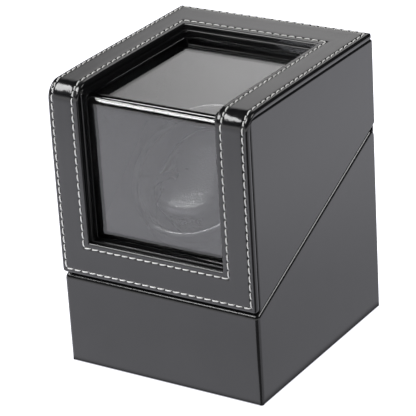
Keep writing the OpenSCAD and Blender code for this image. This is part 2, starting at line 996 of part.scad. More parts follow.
module cushion() {
    flat = 2 * (cushion_long - cushion_round);
    mid = cushion_bottom + cushion_t / 2;
    rise = cushion_t / 2 - cushion_round;
    color(leather_c) at_axis() intersection() {
        along_x(2 * cushion_half) union() {
            translate([-flat / 2, cushion_bottom]) square([flat, cushion_t]);
            translate([-cushion_long, mid - rise]) square([2 * cushion_long, 2 * rise]);
            for (sy = [-1, 1], sz = [-1, 1])
                translate([sy * flat / 2, mid + sz * rise]) circle(cushion_round);
        }
        translate([0, 0, cushion_bottom - over]) cylinder(h = 2 * cushion_t, r = cushion_r);
    }
}

// ---- Gears ----

// Involute function, in degrees, of the angle whose cosine is base radius over radius
function inv_at(base, r) = tan(acos(min(1, base / r))) * 180 / PI - acos(min(1, base / r));

// Outline of a spur gear with a tooth on the +X axis
module gear_outline(teeth, addendum, dedendum) {
    pitch = gear_m * teeth / 2;
    base = pitch * cos(pressure);
    root = pitch - dedendum * gear_m;
    tip = pitch + addendum * gear_m;
    low = max(root, base);
    half = 90 / teeth - backlash / 2 / pitch * 180 / PI / 2 + inv_at(base, pitch);
    flank = [for (i = [0:flank_steps])
        let (r = low + (tip - low) * i / flank_steps) [r, half - inv_at(base, r)]];
    side = concat([[root, half - inv_at(base, low)]], flank);
    last = len(side) - 1;
    tooth = concat(
        [for (i = [0:last]) [side[i][0], -side[i][1]]],
        [for (i = [last:-1:0]) side[i]]
    );
    polygon([for (t = [0:teeth - 1], p = tooth)
        let (a = p[1] + 360 * t / teeth) [p[0] * cos(a), p[0] * sin(a)]]);
}

gear_screw_pitch = 16;
module gear_screw_places() {
    for (turn = [90:120:330]) rotate([0, 0, turn]) translate([gear_screw_pitch, 0, 0]) children();
}

module rotor_gear() {
    color("ivory") at_axis() translate([0, 0, gear_top - gear_w]) difference() {
        linear_extrude(gear_w) gear_outline(gear_teeth, gear_addendum, gear_dedendum);
        translate([0, 0, -over]) cylinder(h = gear_w + 2 * over, r = hub_r + 0.05);
        gear_screw_places() translate([0, 0, -over])
            cylinder(h = gear_w + 2 * over, r = gear_screw[2] + screw_slack);
    }
}

module gear_screws() {
    color(steel_c) at_axis() gear_screw_places()
        translate([0, 0, gear_top - gear_w]) screw(gear_screw);
}

module rotor_shaft() {
    color(steel_c) at_axis() difference() {
        translate([0, 0, boss_end - shaft_tail])
            cylinder(h = cup_back - boss_end + shaft_tail - face_gap, r = shaft_r);
        translate([0, 0, boss_end - clip_drop - face_gap]) difference() {
            cylinder(h = clip_t + 2 * face_gap, r = shaft_r + over);
            cylinder(h = clip_t + 2 * face_gap, r = clip_r);
        }
    }
}

// Spring clip in a groove at the shaft's tail
clip_r = 2.5;
clip_t = 1;
clip_drop = 1.45;
shaft_tail = 3;
module shaft_clip() {
    color(steel_c) at_axis() translate([0, 0, boss_end - clip_drop]) difference() {
        cylinder(h = clip_t, r = 2 * clip_r);
        translate([0, 0, -over]) cylinder(h = 3 * over, r = clip_r + 0.02);
        translate([-clip_r * 0.8, 0, -over]) cube([clip_r * 1.6, 3 * clip_r, 3 * over]);
    }
}

module pinion() {
    color("ivory") at_axis() translate([0, -centre_dist, gear_top - gear_w]) difference() {
        rotate([0, 0, 180 / pinion_teeth]) linear_extrude(gear_w - pinion_short)
            gear_outline(pinion_teeth, pinion_addendum, pinion_dedendum);
        translate([0, 0, -over]) cylinder(h = gear_w + 2 * over, r = pinion_shaft_r + 0.02);
    }
}

module pinion_shaft() {
    low = housing_floor - gearbox_l + ear_t + pinion_short;
    color(steel_c) at_axis() translate([0, -centre_dist, low])
        cylinder(h = gear_top - pinion_short - low, r = pinion_shaft_r);
}

base_shell();
bottom_panel();
base_felt();
bottom_screws();
corner_blocks();
cheek_left();
cheek_right();
deck();
back_panel();
base_magnets();
module_housing();
housing_screws();
front_bush();
rear_bush();
thrust_washer();
gearbox();
gearbox_screws();
motor_can();
motor_endcap();
control_panel();
panel_screws();
control_board();
board_chips();
board_spacers();
dc_jack();
speed_switch();
direction_switch();
speed_knob();
direction_slider();
battery_box();
battery_contacts();
battery_cover();
motor_leads();
battery_leads();
hinge_base_left();
hinge_base_right();
hinge_pins();
hinge_base_screws();
hinge_lid_left();
hinge_lid_right();
hinge_lid_screws();
lid_shell();
window_frame();
window_trim();
window_pane();
pane_retainer();
lining_left();
lining_right();
lining_rear();
lid_magnets();
rotor_cup();
cup_rim();
cup_lining();
rotor_gear();
gear_screws();
rotor_shaft();
shaft_clip();
pinion();
pinion_shaft();
cushion();
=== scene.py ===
"""Looks of the watch winder box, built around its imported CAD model.

Shapes are worked out in millimetres from the CAD nodes' boxes and turned into metres as each mesh is made.
"""

import math

import bmesh
import bpy
import numpy as np
from mathutils import Matrix, Vector, noise
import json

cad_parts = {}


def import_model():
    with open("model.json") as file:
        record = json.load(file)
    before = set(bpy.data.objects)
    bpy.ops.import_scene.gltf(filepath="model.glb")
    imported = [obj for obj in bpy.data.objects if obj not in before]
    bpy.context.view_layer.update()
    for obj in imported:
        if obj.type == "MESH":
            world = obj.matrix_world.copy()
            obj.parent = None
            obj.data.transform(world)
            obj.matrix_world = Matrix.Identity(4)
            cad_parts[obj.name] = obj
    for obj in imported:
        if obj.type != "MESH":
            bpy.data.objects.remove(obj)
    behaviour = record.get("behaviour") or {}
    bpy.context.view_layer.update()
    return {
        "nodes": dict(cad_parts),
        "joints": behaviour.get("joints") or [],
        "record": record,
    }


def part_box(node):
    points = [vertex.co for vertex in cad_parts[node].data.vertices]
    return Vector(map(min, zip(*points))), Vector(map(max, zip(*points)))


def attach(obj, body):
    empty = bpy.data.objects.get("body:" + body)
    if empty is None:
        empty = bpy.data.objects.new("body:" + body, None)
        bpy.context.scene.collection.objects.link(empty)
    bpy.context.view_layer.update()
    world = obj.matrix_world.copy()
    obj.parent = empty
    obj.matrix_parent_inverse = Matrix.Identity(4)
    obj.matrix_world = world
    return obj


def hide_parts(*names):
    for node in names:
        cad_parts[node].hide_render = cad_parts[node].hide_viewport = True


MM = 0.001
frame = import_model()


# ---- Places, from the CAD nodes ----

def span(node):
    """Lowest and highest corner of a CAD node, in millimetres."""
    low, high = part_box(node)
    return low / MM, high / MM


base_low, base_high = span("base_shell")
lid_low, lid_high = span("lid_shell")
frame_low, frame_high = span("window_frame")
trim_low, trim_high = span("window_trim")
pane_low, pane_high = span("window_pane")
lining_high = span("lining_rear")[1]
plate_low, plate_high = span("control_panel")
knob_low, knob_high = span("speed_knob")
slider_low, slider_high = span("direction_slider")
plate_mid = (plate_low + plate_high) / 2
knob_mid = (knob_low + knob_high) / 2

HALF_W = base_high.x
FRONT = base_low.y
REAR = base_high.y
BOARD_T = 7.0
LINING_T = 0.8
INNER_X = lining_high.x + LINING_T
INNER_Y = lining_high.y
LID_INNER_FRONT = pane_low.y
LID_INNER_TOP = pane_high.z
SPLIT_FRONT = 51.0
SPLIT_TILT = math.radians(24.2)
SPLIT_GAP = 0.8
REAR_CORNER_R = 4.0
CORE_BEND_R = 2.5
FRAME_BEND_R = 6.0
FRAME_T = lid_low.y - frame_low.y
OPEN_X = trim_high.x
OPEN_BOTTOM = trim_low.z
OPEN_REAR = trim_high.y

# A point this close to a plane lies on it, and numbers closer than a hair are equal
TOUCH = 0.01
HAIR = 1e-6

# Cuts that go right through reach to these planes
BELOW, ABOVE, AHEAD = -10, 300, -100

# The cup's axis, from the joint that turns it
spin = next(j for j in frame["joints"] if j["name"] == "rotor_spin")
AXIS_POINT = Vector(spin["pos_m"]) / MM
AXIS = Vector(spin["axis"]).normalized()
UPHILL = Vector((0, AXIS.z, -AXIS.y))


def split_z(y):
    """Height of the base's top edge at depth y."""
    return SPLIT_FRONT + (y - FRONT) * math.tan(SPLIT_TILT)


def from_cup(x, up, out):
    """A point given across, up the deck's slope and out along the cup's axis."""
    return AXIS_POINT + Vector((x, 0, 0)) + UPHILL * up + AXIS * out


# ---- Mesh helpers ----

def link(name, data):
    obj = bpy.data.objects.new(name, data)
    bpy.context.scene.collection.objects.link(obj)
    return obj


def shade(mesh, smooth=True):
    mesh.polygons.foreach_set("use_smooth", [smooth] * len(mesh.polygons))


def make(name, verts, faces, smooth=True):
    """An object from points in millimetres."""
    mesh = bpy.data.meshes.new(name)
    mesh.from_pydata([tuple(c * MM for c in v) for v in verts], [], faces)
    mesh.update()
    shade(mesh, smooth)
    return link(name, mesh)


def from_bmesh(name, bm, smooth=True):
    """An object from a bmesh in millimetres."""
    bmesh.ops.scale(bm, vec=(MM, MM, MM), verts=bm.verts)
    bmesh.ops.recalc_face_normals(bm, faces=bm.faces)
    mesh = bpy.data.meshes.new(name)
    bm.to_mesh(mesh)
    bm.free()
    shade(mesh, smooth)
    return link(name, mesh)


def apply_modifiers(obj):
    graph = bpy.context.evaluated_depsgraph_get()
    mesh = bpy.data.meshes.new_from_object(obj.evaluated_get(graph))
    obj.modifiers.clear()
    obj.data = mesh
    return obj


def prism(name, outline, low, high):
    """Extrudes a side outline, points of (y, z), along X."""
    count = len(outline)
    verts = [(x, y, z) for x in (low, high) for y, z in outline]
    sides = [(i, (i + 1) % count, count + (i + 1) % count, count + i) for i in range(count)]
    faces = sides + [tuple(range(count))[::-1], tuple(range(count, 2 * count))]
    return make(name, verts, faces, smooth=False)


def block(name, low, high):
    outline = [(low[1], low[2]), (high[1], low[2]), (high[1], high[2]), (low[1], high[2])]
    return prism(name, outline, low[0], high[0])


def cylinder(name, centre, axis, radius, length, sides=48):
    """A closed cylinder that starts at centre and runs along axis."""
    bm = bmesh.new()
    turn = Vector((0, 0, 1)).rotation_difference(Vector(axis)).to_matrix().to_4x4()
    place = Matrix.Translation(Vector(centre) + Vector(axis).normalized() * (length / 2)) @ turn
    bmesh.ops.create_cone(
        bm, cap_ends=True, segments=sides, radius1=radius, radius2=radius, depth=length, matrix=place
    )
    return from_bmesh(name, bm, smooth=False)


def cut(obj, *tools):
    """Takes the tools away from obj."""
    for tool in tools:
        modifier = obj.modifiers.new("cut", "BOOLEAN")
        modifier.operation = "DIFFERENCE"
        modifier.solver = "EXACT"
        modifier.object = tool
    apply_modifiers(obj)
    for tool in tools:
        bpy.data.objects.remove(tool)
    return obj


def round_edges(obj, width, chosen=lambda a, b: True, segments=4):
    """Rounds the sharp edges that chosen(first point, second point) picks, in millimetres."""
    bm = bmesh.new()
    bm.from_mesh(obj.data)
    bmesh.ops.remove_doubles(bm, verts=bm.verts, dist=0.002 * MM)
    bmesh.ops.recalc_face_normals(bm, faces=bm.faces)
    sharp = [
        e for e in bm.edges
        if e.is_manifold and e.calc_face_angle() > math.radians(22)
        and chosen(e.verts[0].co / MM, e.verts[1].co / MM)
    ]
    bmesh.ops.bevel(
        bm, geom=sharp, offset=width * MM, offset_type="OFFSET", segments=segments,
        profile=0.5, affect="EDGES", clamp_overlap=True, miter_outer="ARC"
    )
    bm.to_mesh(obj.data)
    bm.free()
    shade(obj.data)
    return obj


def even_normals(obj):
    modifier = obj.modifiers.new("normals", "WEIGHTED_NORMAL")
    modifier.weight = 80
    modifier.keep_sharp = False
    return obj


def bevel(obj, width, segments, angle):
    """Rounds edges sharper than an angle in degrees, with a modifier."""
    modifier = obj.modifiers.new("bevel", "BEVEL")
    modifier.width = width * MM
    modifier.segments = segments
    modifier.limit_method = "ANGLE"
    modifier.angle_limit = math.radians(angle)


def soften(node, width):
    """Rounds a CAD node's edges a little, with modifiers only."""
    obj = frame["nodes"][node]
    weld = obj.modifiers.new("weld", "WELD")
    weld.merge_threshold = 0.0005 * MM
    bevel(obj, width, 3, 34)
    return even_normals(obj)


def lathe(name, profile, sides=64):
    """A closed turned shape about +Z, from points of (radius, height) that start and end on the axis."""
    bm = bmesh.new()
    rings = []
    for radius, height in profile:
        if radius < HAIR:
            rings.append([bm.verts.new((0, 0, height))])
        else:
            turn = arc((0, 0), radius, 0, 360, sides)[:-1]
            rings.append([bm.verts.new((x, y, height)) for x, y in turn])
    for a, b in zip(rings, rings[1:]):
        for i in range(sides):
            j = (i + 1) % sides
            corner = [a[i % len(a)], a[j % len(a)], b[j % len(b)], b[i % len(b)]]
            corner = list(dict.fromkeys(corner))
            if len(corner) > 2:
                bm.faces.new(corner)
    return from_bmesh(name, bm)


def skin(bm, rings):
    """Faces between closed rings of points."""
    for a, b in zip(rings, rings[1:]):
        for n in range(len(a)):
            m = (n + 1) % len(a)
            bm.faces.new([a[n], a[m], b[m], b[n]])


def arc(centre, radius, start, end, steps):
    """Points of (a, b) along an arc, angles in degrees."""
    angles = [math.radians(start + (end - start) * i / steps) for i in range(steps + 1)]
    return [(centre[0] + radius * math.cos(a), centre[1] + radius * math.sin(a)) for a in angles]


def join(name, objs):
    """One object from several, with their places kept."""
    bm = bmesh.new()
    for obj in objs:
        part = obj.data.copy()
        part.transform(obj.matrix_world)
        bm.from_mesh(part)
        bpy.data.meshes.remove(part)
    mesh = bpy.data.meshes.new(name)
    bm.to_mesh(mesh)
    bm.free()
    for obj in objs:
        bpy.data.objects.remove(obj)
    return link(name, mesh)


# ---- Materials ----

def add(tree, kind, **values):
    """A shader node, with its properties and inputs set. An input's name has _ for each space."""
    node = tree.nodes.new("ShaderNode" + kind)
    for key, value in values.items():
        socket = key.replace("_", " ")
        if socket in node.inputs:
            node.inputs[socket].default_value = value
        else:
            setattr(node, key, value)
    return node


def shader(name, colour, roughness, **inputs):
    """A Principled material with plain values. It gives the material, its tree and its main node."""
    material = bpy.data.materials.new(name)
    material.use_nodes = True
    tree = material.node_tree
    main = tree.nodes["Principled BSDF"]
    main.inputs["Base Color"].default_value = (*colour, 1)
    main.inputs["Roughness"].default_value = roughness
    for key, value in inputs.items():
        main.inputs[key.replace("_", " ")].default_value = value
    return material, tree, main


def place_of(tree, stretch=(1, 1, 1)):
    """Object coordinates in millimetres, stretched."""
    coords = add(tree, "TexCoord")
    scaled = add(tree, "Mapping")
    scaled.inputs["Scale"].default_value = [s / MM for s in stretch]
    tree.links.new(coords.outputs["Object"], scaled.inputs["Vector"])
    return scaled.outputs["Vector"]


def speckle(tree, place, size, detail=3, rough=0.55):
    """Noise with features of that size in millimetres."""
    node = add(tree, "TexNoise", Scale=1 / size, Detail=detail, Roughness=rough)
    tree.links.new(place, node.inputs["Vector"])
    return node.outputs["Fac"]


def spread(tree, value, low, high):
    """Maps the middle of a noise onto low to high."""
    node = add(tree, "MapRange", From_Min=0.3, From_Max=0.7, To_Min=low, To_Max=high)
    tree.links.new(value, node.inputs["Value"])
    return node.outputs["Result"]


def step(tree, value, start, end, low=0.0, high=1.0):
    """A smooth step from low, at start, to high, at end."""
    node = add(tree, "MapRange", From_Min=start, From_Max=end, To_Min=low, To_Max=high)
    node.interpolation_type = "SMOOTHSTEP"
    tree.links.new(value, node.inputs["Value"])
    return node.outputs["Result"]


def feed(tree, socket, value):
    """Gives a socket a plain number or another node's result."""
    if isinstance(value, (int, float)):
        socket.default_value = value
    else:
        tree.links.new(value, socket)


def maths(tree, operation, *values):
    node = add(tree, "Math", operation=operation)
    for socket, value in zip(node.inputs, values):
        feed(tree, socket, value)
    return node.outputs["Value"]


def product(tree, *factors):
    """Several sockets multiplied together."""
    result = factors[0]
    for factor in factors[1:]:
        result = maths(tree, "MULTIPLY", result, factor)
    return result


def for_camera(tree, seen, otherwise):
    """One value for what the camera sees directly, another for every reflection."""
    path = add(tree, "LightPath")
    node = add(tree, "Mix", data_type="FLOAT")
    tree.links.new(path.outputs["Is Camera Ray"], node.inputs["Factor"])
    feed(tree, node.inputs["A"], otherwise)
    feed(tree, node.inputs["B"], seen)
    return node.outputs["Result"]


def tint(tree, main, factor, first, second):
    """Colours the surface between two tones."""
    node = add(tree, "Mix", data_type="RGBA")
    node.inputs["A"].default_value = (*first, 1)
    node.inputs["B"].default_value = (*second, 1)
    tree.links.new(factor, node.inputs["Factor"])
    tree.links.new(node.outputs["Result"], main.inputs["Base Color"])


def shine(tree, main, factor, low, high):
    """Roughness that varies with a noise."""
    tree.links.new(spread(tree, factor, low, high), main.inputs["Roughness"])


def relief(tree, main, *layers):
    """Stacks bumps, each a height and its depth in millimetres."""
    normal = None
    for height, depth in layers:
        bump = add(tree, "Bump", Strength=1.0, Distance=depth * MM)
        tree.links.new(height, bump.inputs["Height"])
        if normal:
            tree.links.new(normal, bump.inputs["Normal"])
        normal = bump.outputs["Normal"]
    tree.links.new(normal, main.inputs["Normal"])


def leather(name, grain=0.7, grain_depth=0.01, wave_depth=0.03, gloss=(0.12, 0.19), lift=1.0):
    """Coated leatherette: pebbled grain, slow waves of the glued sheet, and a shine that varies."""
    material, tree, main = shader(name, (0.008, 0.008, 0.0085), 0.22)
    place = place_of(tree)
    cells = add(tree, "TexVoronoi", Scale=1 / grain, feature="SMOOTH_F1", Smoothness=0.6)
    tree.links.new(place, cells.inputs["Vector"])
    fine = speckle(tree, place, grain * 0.35)
    slow = speckle(tree, place, 14, detail=2)
    patch = speckle(tree, place, 22, detail=4)
    dark, light = ([c * lift for c in tone] for tone in ((0.006, 0.006, 0.0065), (0.0095, 0.0095, 0.0102)))
    tint(tree, main, spread(tree, patch, 0, 1), dark, light)
    shine(tree, main, patch, *gloss)
    pebbles = cells.outputs["Distance"]
    relief(tree, main, (slow, wave_depth), (pebbles, grain_depth), (fine, grain_depth * 0.5))
    return material


def velvet_material():
    """Short pile: almost black, with a soft rim of light."""
    tone = 0.006
    material, tree, main = shader(
        "velvet", (tone,) * 3, 0.95, Sheen_Weight=0.35, Sheen_Roughness=0.45, Specular_IOR_Level=0.2
    )
    main.inputs["Sheen Tint"].default_value = (0.5, 0.5, 0.52, 1)
    place = place_of(tree)
    brushed = speckle(tree, place, 9, detail=3)
    tint(tree, main, spread(tree, brushed, 0, 1), (tone * 0.7,) * 3, (tone * 1.6,) * 3)
    relief(tree, main, (speckle(tree, place, 0.25, detail=2), 0.08))
    return material


def felt_material():
    """Pressed felt with fibres that lie one way."""
    material, tree, main = shader("felt", (0.012, 0.012, 0.013), 1.0, Sheen_Weight=0.3)
    place = place_of(tree)
    fibres = speckle(tree, place_of(tree, (3, 0.6, 1)), 0.5, detail=5)
    tint(tree, main, spread(tree, fibres, 0, 1), (0.008,) * 3, (0.022,) * 3)
    relief(tree, main, (fibres, 0.15), (speckle(tree, place, 0.3), 0.1))
    return material


def gloss_plastic():
    """Polished black plastic with a breath of orange peel and handling marks."""
    material, tree, main = shader("gloss_black", (0.006, 0.006, 0.0065), 0.07)
    place = place_of(tree)
    marks = speckle(tree, place_of(tree, (1, 1, 6)), 5, detail=6, rough=0.7)
    shine(tree, main, marks, 0.05, 0.13)
    relief(tree, main, (speckle(tree, place, 2.5, detail=1), 0.004))
    return material


def matte_plastic(name, colour, second, roughness=(0.42, 0.58), depth=0.015):
    """Moulded plastic with a spark-eroded texture."""
    material, tree, main = shader(name, colour, 0.5)
    place = place_of(tree)
    texture = speckle(tree, place, 0.22, detail=2)
    tone = speckle(tree, place, 12, detail=4)
    tint(tree, main, spread(tree, tone, 0, 1), colour, second)
    shine(tree, main, tone, *roughness)
    relief(tree, main, (texture, depth))
    return material


def metal(name, colour, second, roughness, brush=(1, 1, 1), size=0.6):
    """Plated metal with fine marks along the brush direction."""
    material, tree, main = shader(name, colour, 0.3, Metallic=1.0)
    marks = speckle(tree, place_of(tree, brush), size, detail=5, rough=0.65)
    tint(tree, main, spread(tree, marks, 0, 1), colour, second)
    shine(tree, main, marks, *roughness)
    relief(tree, main, (marks, 0.004))
    return material


def wood_material():
    """Raw fibreboard with soft bands."""
    material, tree, main = shader("wood", (0.42, 0.29, 0.17), 0.75)
    place = place_of(tree, (1, 0.12, 1))
    bands = speckle(tree, place, 1.6, detail=5, rough=0.65)
    flecks = speckle(tree, place_of(tree), 0.4, detail=3)
    tint(tree, main, spread(tree, bands, 0, 1), (0.36, 0.24, 0.13), (0.52, 0.37, 0.22))
    relief(tree, main, (bands, 0.08), (flecks, 0.05))
    return material


def board_material():
    """Solder-masked board with faint copper runs under the mask."""
    material, tree, main = shader("board", (0.01, 0.11, 0.045), 0.3, Coat_Weight=0.4)
    runs = add(tree, "TexBrick", Scale=1 / 2.2, Mortar_Size=0.06, Mortar_Smooth=0.3)
    runs.inputs["Color1"].default_value = (0.008, 0.1, 0.04, 1)
    runs.inputs["Color2"].default_value = (0.012, 0.13, 0.05, 1)
    runs.inputs["Mortar"].default_value = (0.03, 0.2, 0.07, 1)
    turned = add(tree, "Mapping")
    turned.inputs["Rotation"].default_value = (math.pi / 2, 0, 0)
    tree.links.new(place_of(tree), turned.inputs["Vector"])
    tree.links.new(turned.outputs["Vector"], runs.inputs["Vector"])
    tree.links.new(runs.outputs["Color"], main.inputs["Base Color"])
    relief(tree, main, (runs.outputs["Fac"], 0.03))
    return material


def lead_material():
    """Red insulation of the flat two-core leads."""
    material, tree, main = shader("lead", (0.3, 0.02, 0.02), 0.45)
    ripple = speckle(tree, place_of(tree, (1, 0.3, 0.3)), 0.5)
    tint(tree, main, spread(tree, ripple, 0, 1), (0.26, 0.016, 0.016), (0.36, 0.03, 0.026))
    relief(tree, main, (ripple, 0.05))
    return material


def acrylic_material():
    """Clear sheet, with the faintest surface waviness."""
    material, tree, main = shader(
        "acrylic", (0.97, 0.975, 0.98), 0.015, Transmission_Weight=1.0, IOR=1.49
    )
    relief(tree, main, (speckle(tree, place_of(tree), 60, detail=0), 0.004))
    return material


def thread_material():
    """White polyester thread, with its twist along each stitch and painted shade in the twist's grooves."""
    material, tree, main = shader("thread", (0.8, 0.8, 0.78), 0.62, Sheen_Weight=0.2)
    coords = add(tree, "TexCoord")
    twist = add(tree, "TexWave", Scale=1.6, Distortion=0.6, wave_type="BANDS", bands_direction="DIAGONAL")
    tree.links.new(coords.outputs["UV"], twist.inputs["Vector"])
    # Painted shade: the twist's grooves, low in the same bands as the bump, are painted darker
    tint(tree, main, twist.outputs["Fac"], (0.7, 0.7, 0.68), (0.9, 0.9, 0.88))
    relief(tree, main, (twist.outputs["Fac"], 0.08))
    return material


def print_material():
    """Pad-printed light grey marks."""
    material, tree, main = shader("print", (0.6, 0.6, 0.6), 0.55)
    worn = speckle(tree, place_of(tree), 0.3, detail=4)
    tint(tree, main, spread(tree, worn, 0, 1), (0.5, 0.5, 0.5), (0.66, 0.66, 0.66))
    return material


PLATE = ((0.55, 0.54, 0.52), (0.68, 0.67, 0.65))
ZINC = ((0.5, 0.51, 0.53), (0.64, 0.65, 0.67))
MATERIALS = {
    "leather": leather("leather"),
    "frame_leather": leather("frame_leather", grain=0.6, wave_depth=0.02, gloss=(0.11, 0.18)),
    "cushion_leather": leather(
        "cushion_leather", grain=0.9, grain_depth=0.08, wave_depth=0.05, gloss=(0.24, 0.34), lift=1.3
    ),
    "velvet": velvet_material(),
    "felt": felt_material(),
    "gloss_black": gloss_plastic(),
    "matte_black": matte_plastic("matte_black", (0.018, 0.018, 0.019), (0.026, 0.026, 0.027)),
    "acrylic": acrylic_material(),
    "gear_plastic": matte_plastic(
        "gear_plastic", (0.7, 0.67, 0.6), (0.78, 0.76, 0.69), roughness=(0.35, 0.45), depth=0.004
    ),
    "steel": metal("steel", *ZINC, roughness=(0.28, 0.42)),
    "nickel": metal("nickel", *PLATE, roughness=(0.16, 0.3), brush=(0.25, 1, 1), size=0.4),
    "bronze": metal("bronze", (0.55, 0.36, 0.14), (0.68, 0.47, 0.2), roughness=(0.35, 0.5)),
    "wood": wood_material(),
    "board": board_material(),
    "lead": lead_material(),
}
THREAD = thread_material()
PRINT = print_material()


def finish_as(obj, slot, material=None):
    """Gives a piece the material for its slot, or the material given."""
    obj.data.materials.clear()
    obj.data.materials.append(material or MATERIALS[slot])
    return obj


# ---- Case shells ----

EDGE_R = 2.4
RIM_R = 1.2
FOOT_R = 0.9
FOOT_TOP = 2
PANEL_HOLE = Vector((52, 0, 22))
MAGNET_T = 2.0
MAGNET_HOLE_R = 2.55
MAGNET_SLACK = 0.2

# Strip at the rear of the base: its lower and upper edge, thickness, and how far it is let in
STRIP_LOW, STRIP_HIGH = 101.5, 109
STRIP_T = 1.2
STRIP_IN = 0.03
STRIP_EDGE_R = 0.4


def base_piece():
    """Leather-covered base: walls that end on the slanted split."""
    cy = REAR - REAR_CORNER_R
    cz = split_z(cy) - REAR_CORNER_R / math.cos(SPLIT_TILT)
    corner = arc((cy, cz), REAR_CORNER_R, 0, 90 + math.degrees(SPLIT_TILT), 14)
    outline = [(FRONT, base_low.z), (REAR, base_low.z), *corner, (FRONT, SPLIT_FRONT)]
    shell = prism("base_case", outline, -HALF_W, HALF_W)
    hole = PANEL_HOLE / 2
    cut(
        shell,
        block("room", (-INNER_X, -INNER_Y, BELOW), (INNER_X, INNER_Y, ABOVE)),
        block(
            "panel_hole", (plate_mid.x - hole.x, INNER_Y - 1, plate_mid.z - hole.z),
            (plate_mid.x + hole.x, REAR + 1, plate_mid.z + hole.z)
        ),
        *[cylinder("pocket", p, split_normal(), MAGNET_HOLE_R, 2 * MAGNET_T)
          for p in magnet_places("base_magnets")]
    )

    def outside(p):
        return abs(p.x) > HALF_W - TOUCH or abs(p.y) > REAR - TOUCH

    def crease(a, b):
        if not (outside(a) and outside(b)):
            return False
        hole_rim = max(abs(a.x), abs(b.x)) < hole.x + 1
        return not hole_rim and max(a.z, b.z) > FOOT_TOP

    def foot(a, b):
        return max(a.z, b.z) < FOOT_TOP and outside(a) and outside(b)

    round_edges(shell, EDGE_R, crease)
    return round_edges(shell, FOOT_R, foot)


def split_normal():
    return Vector((0, -math.sin(SPLIT_TILT), math.cos(SPLIT_TILT)))


def magnet_places(node):
    """Centres of the two magnets' lower faces."""
    low, high = span(node)
    y = (low.y + high.y) / 2
    z = (low.z + high.z) / 2
    side = HALF_W - BOARD_T / 2
    return [Vector((sx * side, y, z)) - split_normal() * (MAGNET_T / 2) for sx in (-1, 1)]


def lid_piece():
    """Leather-covered lid: sides, rear, and the front and top boards behind the window frame."""
    low = split_z(lid_low.y) + SPLIT_GAP
    high = split_z(REAR) + SPLIT_GAP
    bend = arc((lid_low.y + CORE_BEND_R, lid_high.z - CORE_BEND_R), CORE_BEND_R, 90, 180, 8)
    outline = [(lid_low.y, low), (REAR, high), (REAR, lid_high.z), *bend]
    shell = prism("lid_case", outline, -HALF_W, HALF_W)
    cut(
        shell,
        block("room", (-INNER_X, LID_INNER_FRONT, BELOW), (INNER_X, INNER_Y, LID_INNER_TOP)),
        block("window", (-OPEN_X, AHEAD, OPEN_BOTTOM), (OPEN_X, OPEN_REAR, ABOVE)),
        *[cylinder("pocket", p - split_normal() * MAGNET_T, split_normal(), MAGNET_HOLE_R,
                   2 * MAGNET_T + MAGNET_SLACK) for p in magnet_places("lid_magnets")]
    )

    def outside(p):
        return abs(p.x) > HALF_W - TOUCH or p.y > REAR - TOUCH

    return round_edges(shell, RIM_R, lambda a, b: outside(a) and outside(b))


def rear_strip():
    """Leather-covered strip let into the base's rear, up to the lid, where the base's rim is round."""
    width = HALF_W - RIM_R
    strip = block("rear_strip", (-width, REAR - STRIP_T, STRIP_LOW), (width, REAR - STRIP_IN, STRIP_HIGH))
    return round_edges(strip, STRIP_EDGE_R, segments=2)


# ---- Padded window frame ----

BULL_R = 1.7
BACK_R = 1.3
SILL_EDGE_R = 1.0
CORNER_R = 2.6
STITCH_PITCH = 4.7
FRAME_TOP = frame_high.z
STRAIGHT = FRAME_TOP - FRAME_BEND_R - frame_low.z
BEND_END = STRAIGHT + FRAME_BEND_R * math.pi / 2
LENGTH = BEND_END + frame_high.y - (frame_low.y + FRAME_BEND_R)
OPEN_START = OPEN_BOTTOM - frame_low.z
OPEN_END = LENGTH - (frame_high.y - OPEN_REAR)

# The leather takes the bend wider than the board under it, and is pulled thin there and a way past it
LEATHER_BEND_R = 10.0
PULL = 0.5
PULL_REACH = 36

# Padding between the rows, and the groove and holes that the thread draws in
PAD_RISE = 0.3
PAD_SHOULDER = 6.2
GROOVE = (0.24, 0.6)
HOLE = (0.3, 0.5)

# Each row of stitches: distance from the sides, the lower edge and the rear edge
OUTER_ROW = (3.0, 2.9, 2.9)
INNER_ROW = (15.5, 17.1, 22.2)


def on_sheet(x, s, height):
    """Bends the flat sheet: x across, s along it from its lower edge, height out of its face."""
    cy = frame_low.y + FRAME_BEND_R
    cz = FRAME_TOP - FRAME_BEND_R
    if s < STRAIGHT:
        return (x, frame_low.y - height, frame_low.z + s)
    if s < BEND_END:
        a = (s - STRAIGHT) / FRAME_BEND_R
        r = FRAME_BEND_R + height
        return (x, cy - r * math.cos(a), cz + r * math.sin(a))
    return (x, cy + s - BEND_END, FRAME_TOP + height)


def pull(s):
    """How far the leather's face lies under the nominal sheet near the bend, at s along the sheet."""
    extra = LEATHER_BEND_R - FRAME_BEND_R
    ahead = np.maximum(STRAIGHT - s, s - BEND_END)
    flat = LEATHER_BEND_R - np.sqrt(LEATHER_BEND_R ** 2 - np.clip(extra - ahead, 0, extra) ** 2)
    turn = np.clip((s - STRAIGHT) / FRAME_BEND_R - math.pi / 4, -math.pi / 4, math.pi / 4)
    across = extra * math.sqrt(2)
    chord = np.sqrt(LEATHER_BEND_R ** 2 - (across * np.sin(turn)) ** 2)
    bent = FRAME_BEND_R + across * np.cos(turn) - chord
    thin = np.clip(1 - np.maximum(ahead, 0) / PULL_REACH, 0, 1)
    return PULL * thin ** 2 + np.where(ahead > 0, flat, bent)


def stitch_spans(row):
    """Start and end hole of every stitch in a row, in the sheet's plane."""
    side, low, rear = row
    x = HALF_W - side
    corners = [Vector(c) for c in ((-x, low), (x, low), (x, LENGTH - rear), (-x, LENGTH - rear))]
    spans = []
    for a, b in zip(corners, corners[1:] + corners[:1]):
        count = round((b - a).length / STITCH_PITCH)
        spans += [(a.lerp(b, i / count), a.lerp(b, (i + 1) / count)) for i in range(count)]
    return spans


def ramp(low, high, pitch):
    """Even values from low up to high, without high itself."""
    count = max(1, round((high - low) / pitch))
    return [low + (high - low) * i / count for i in range(count)]


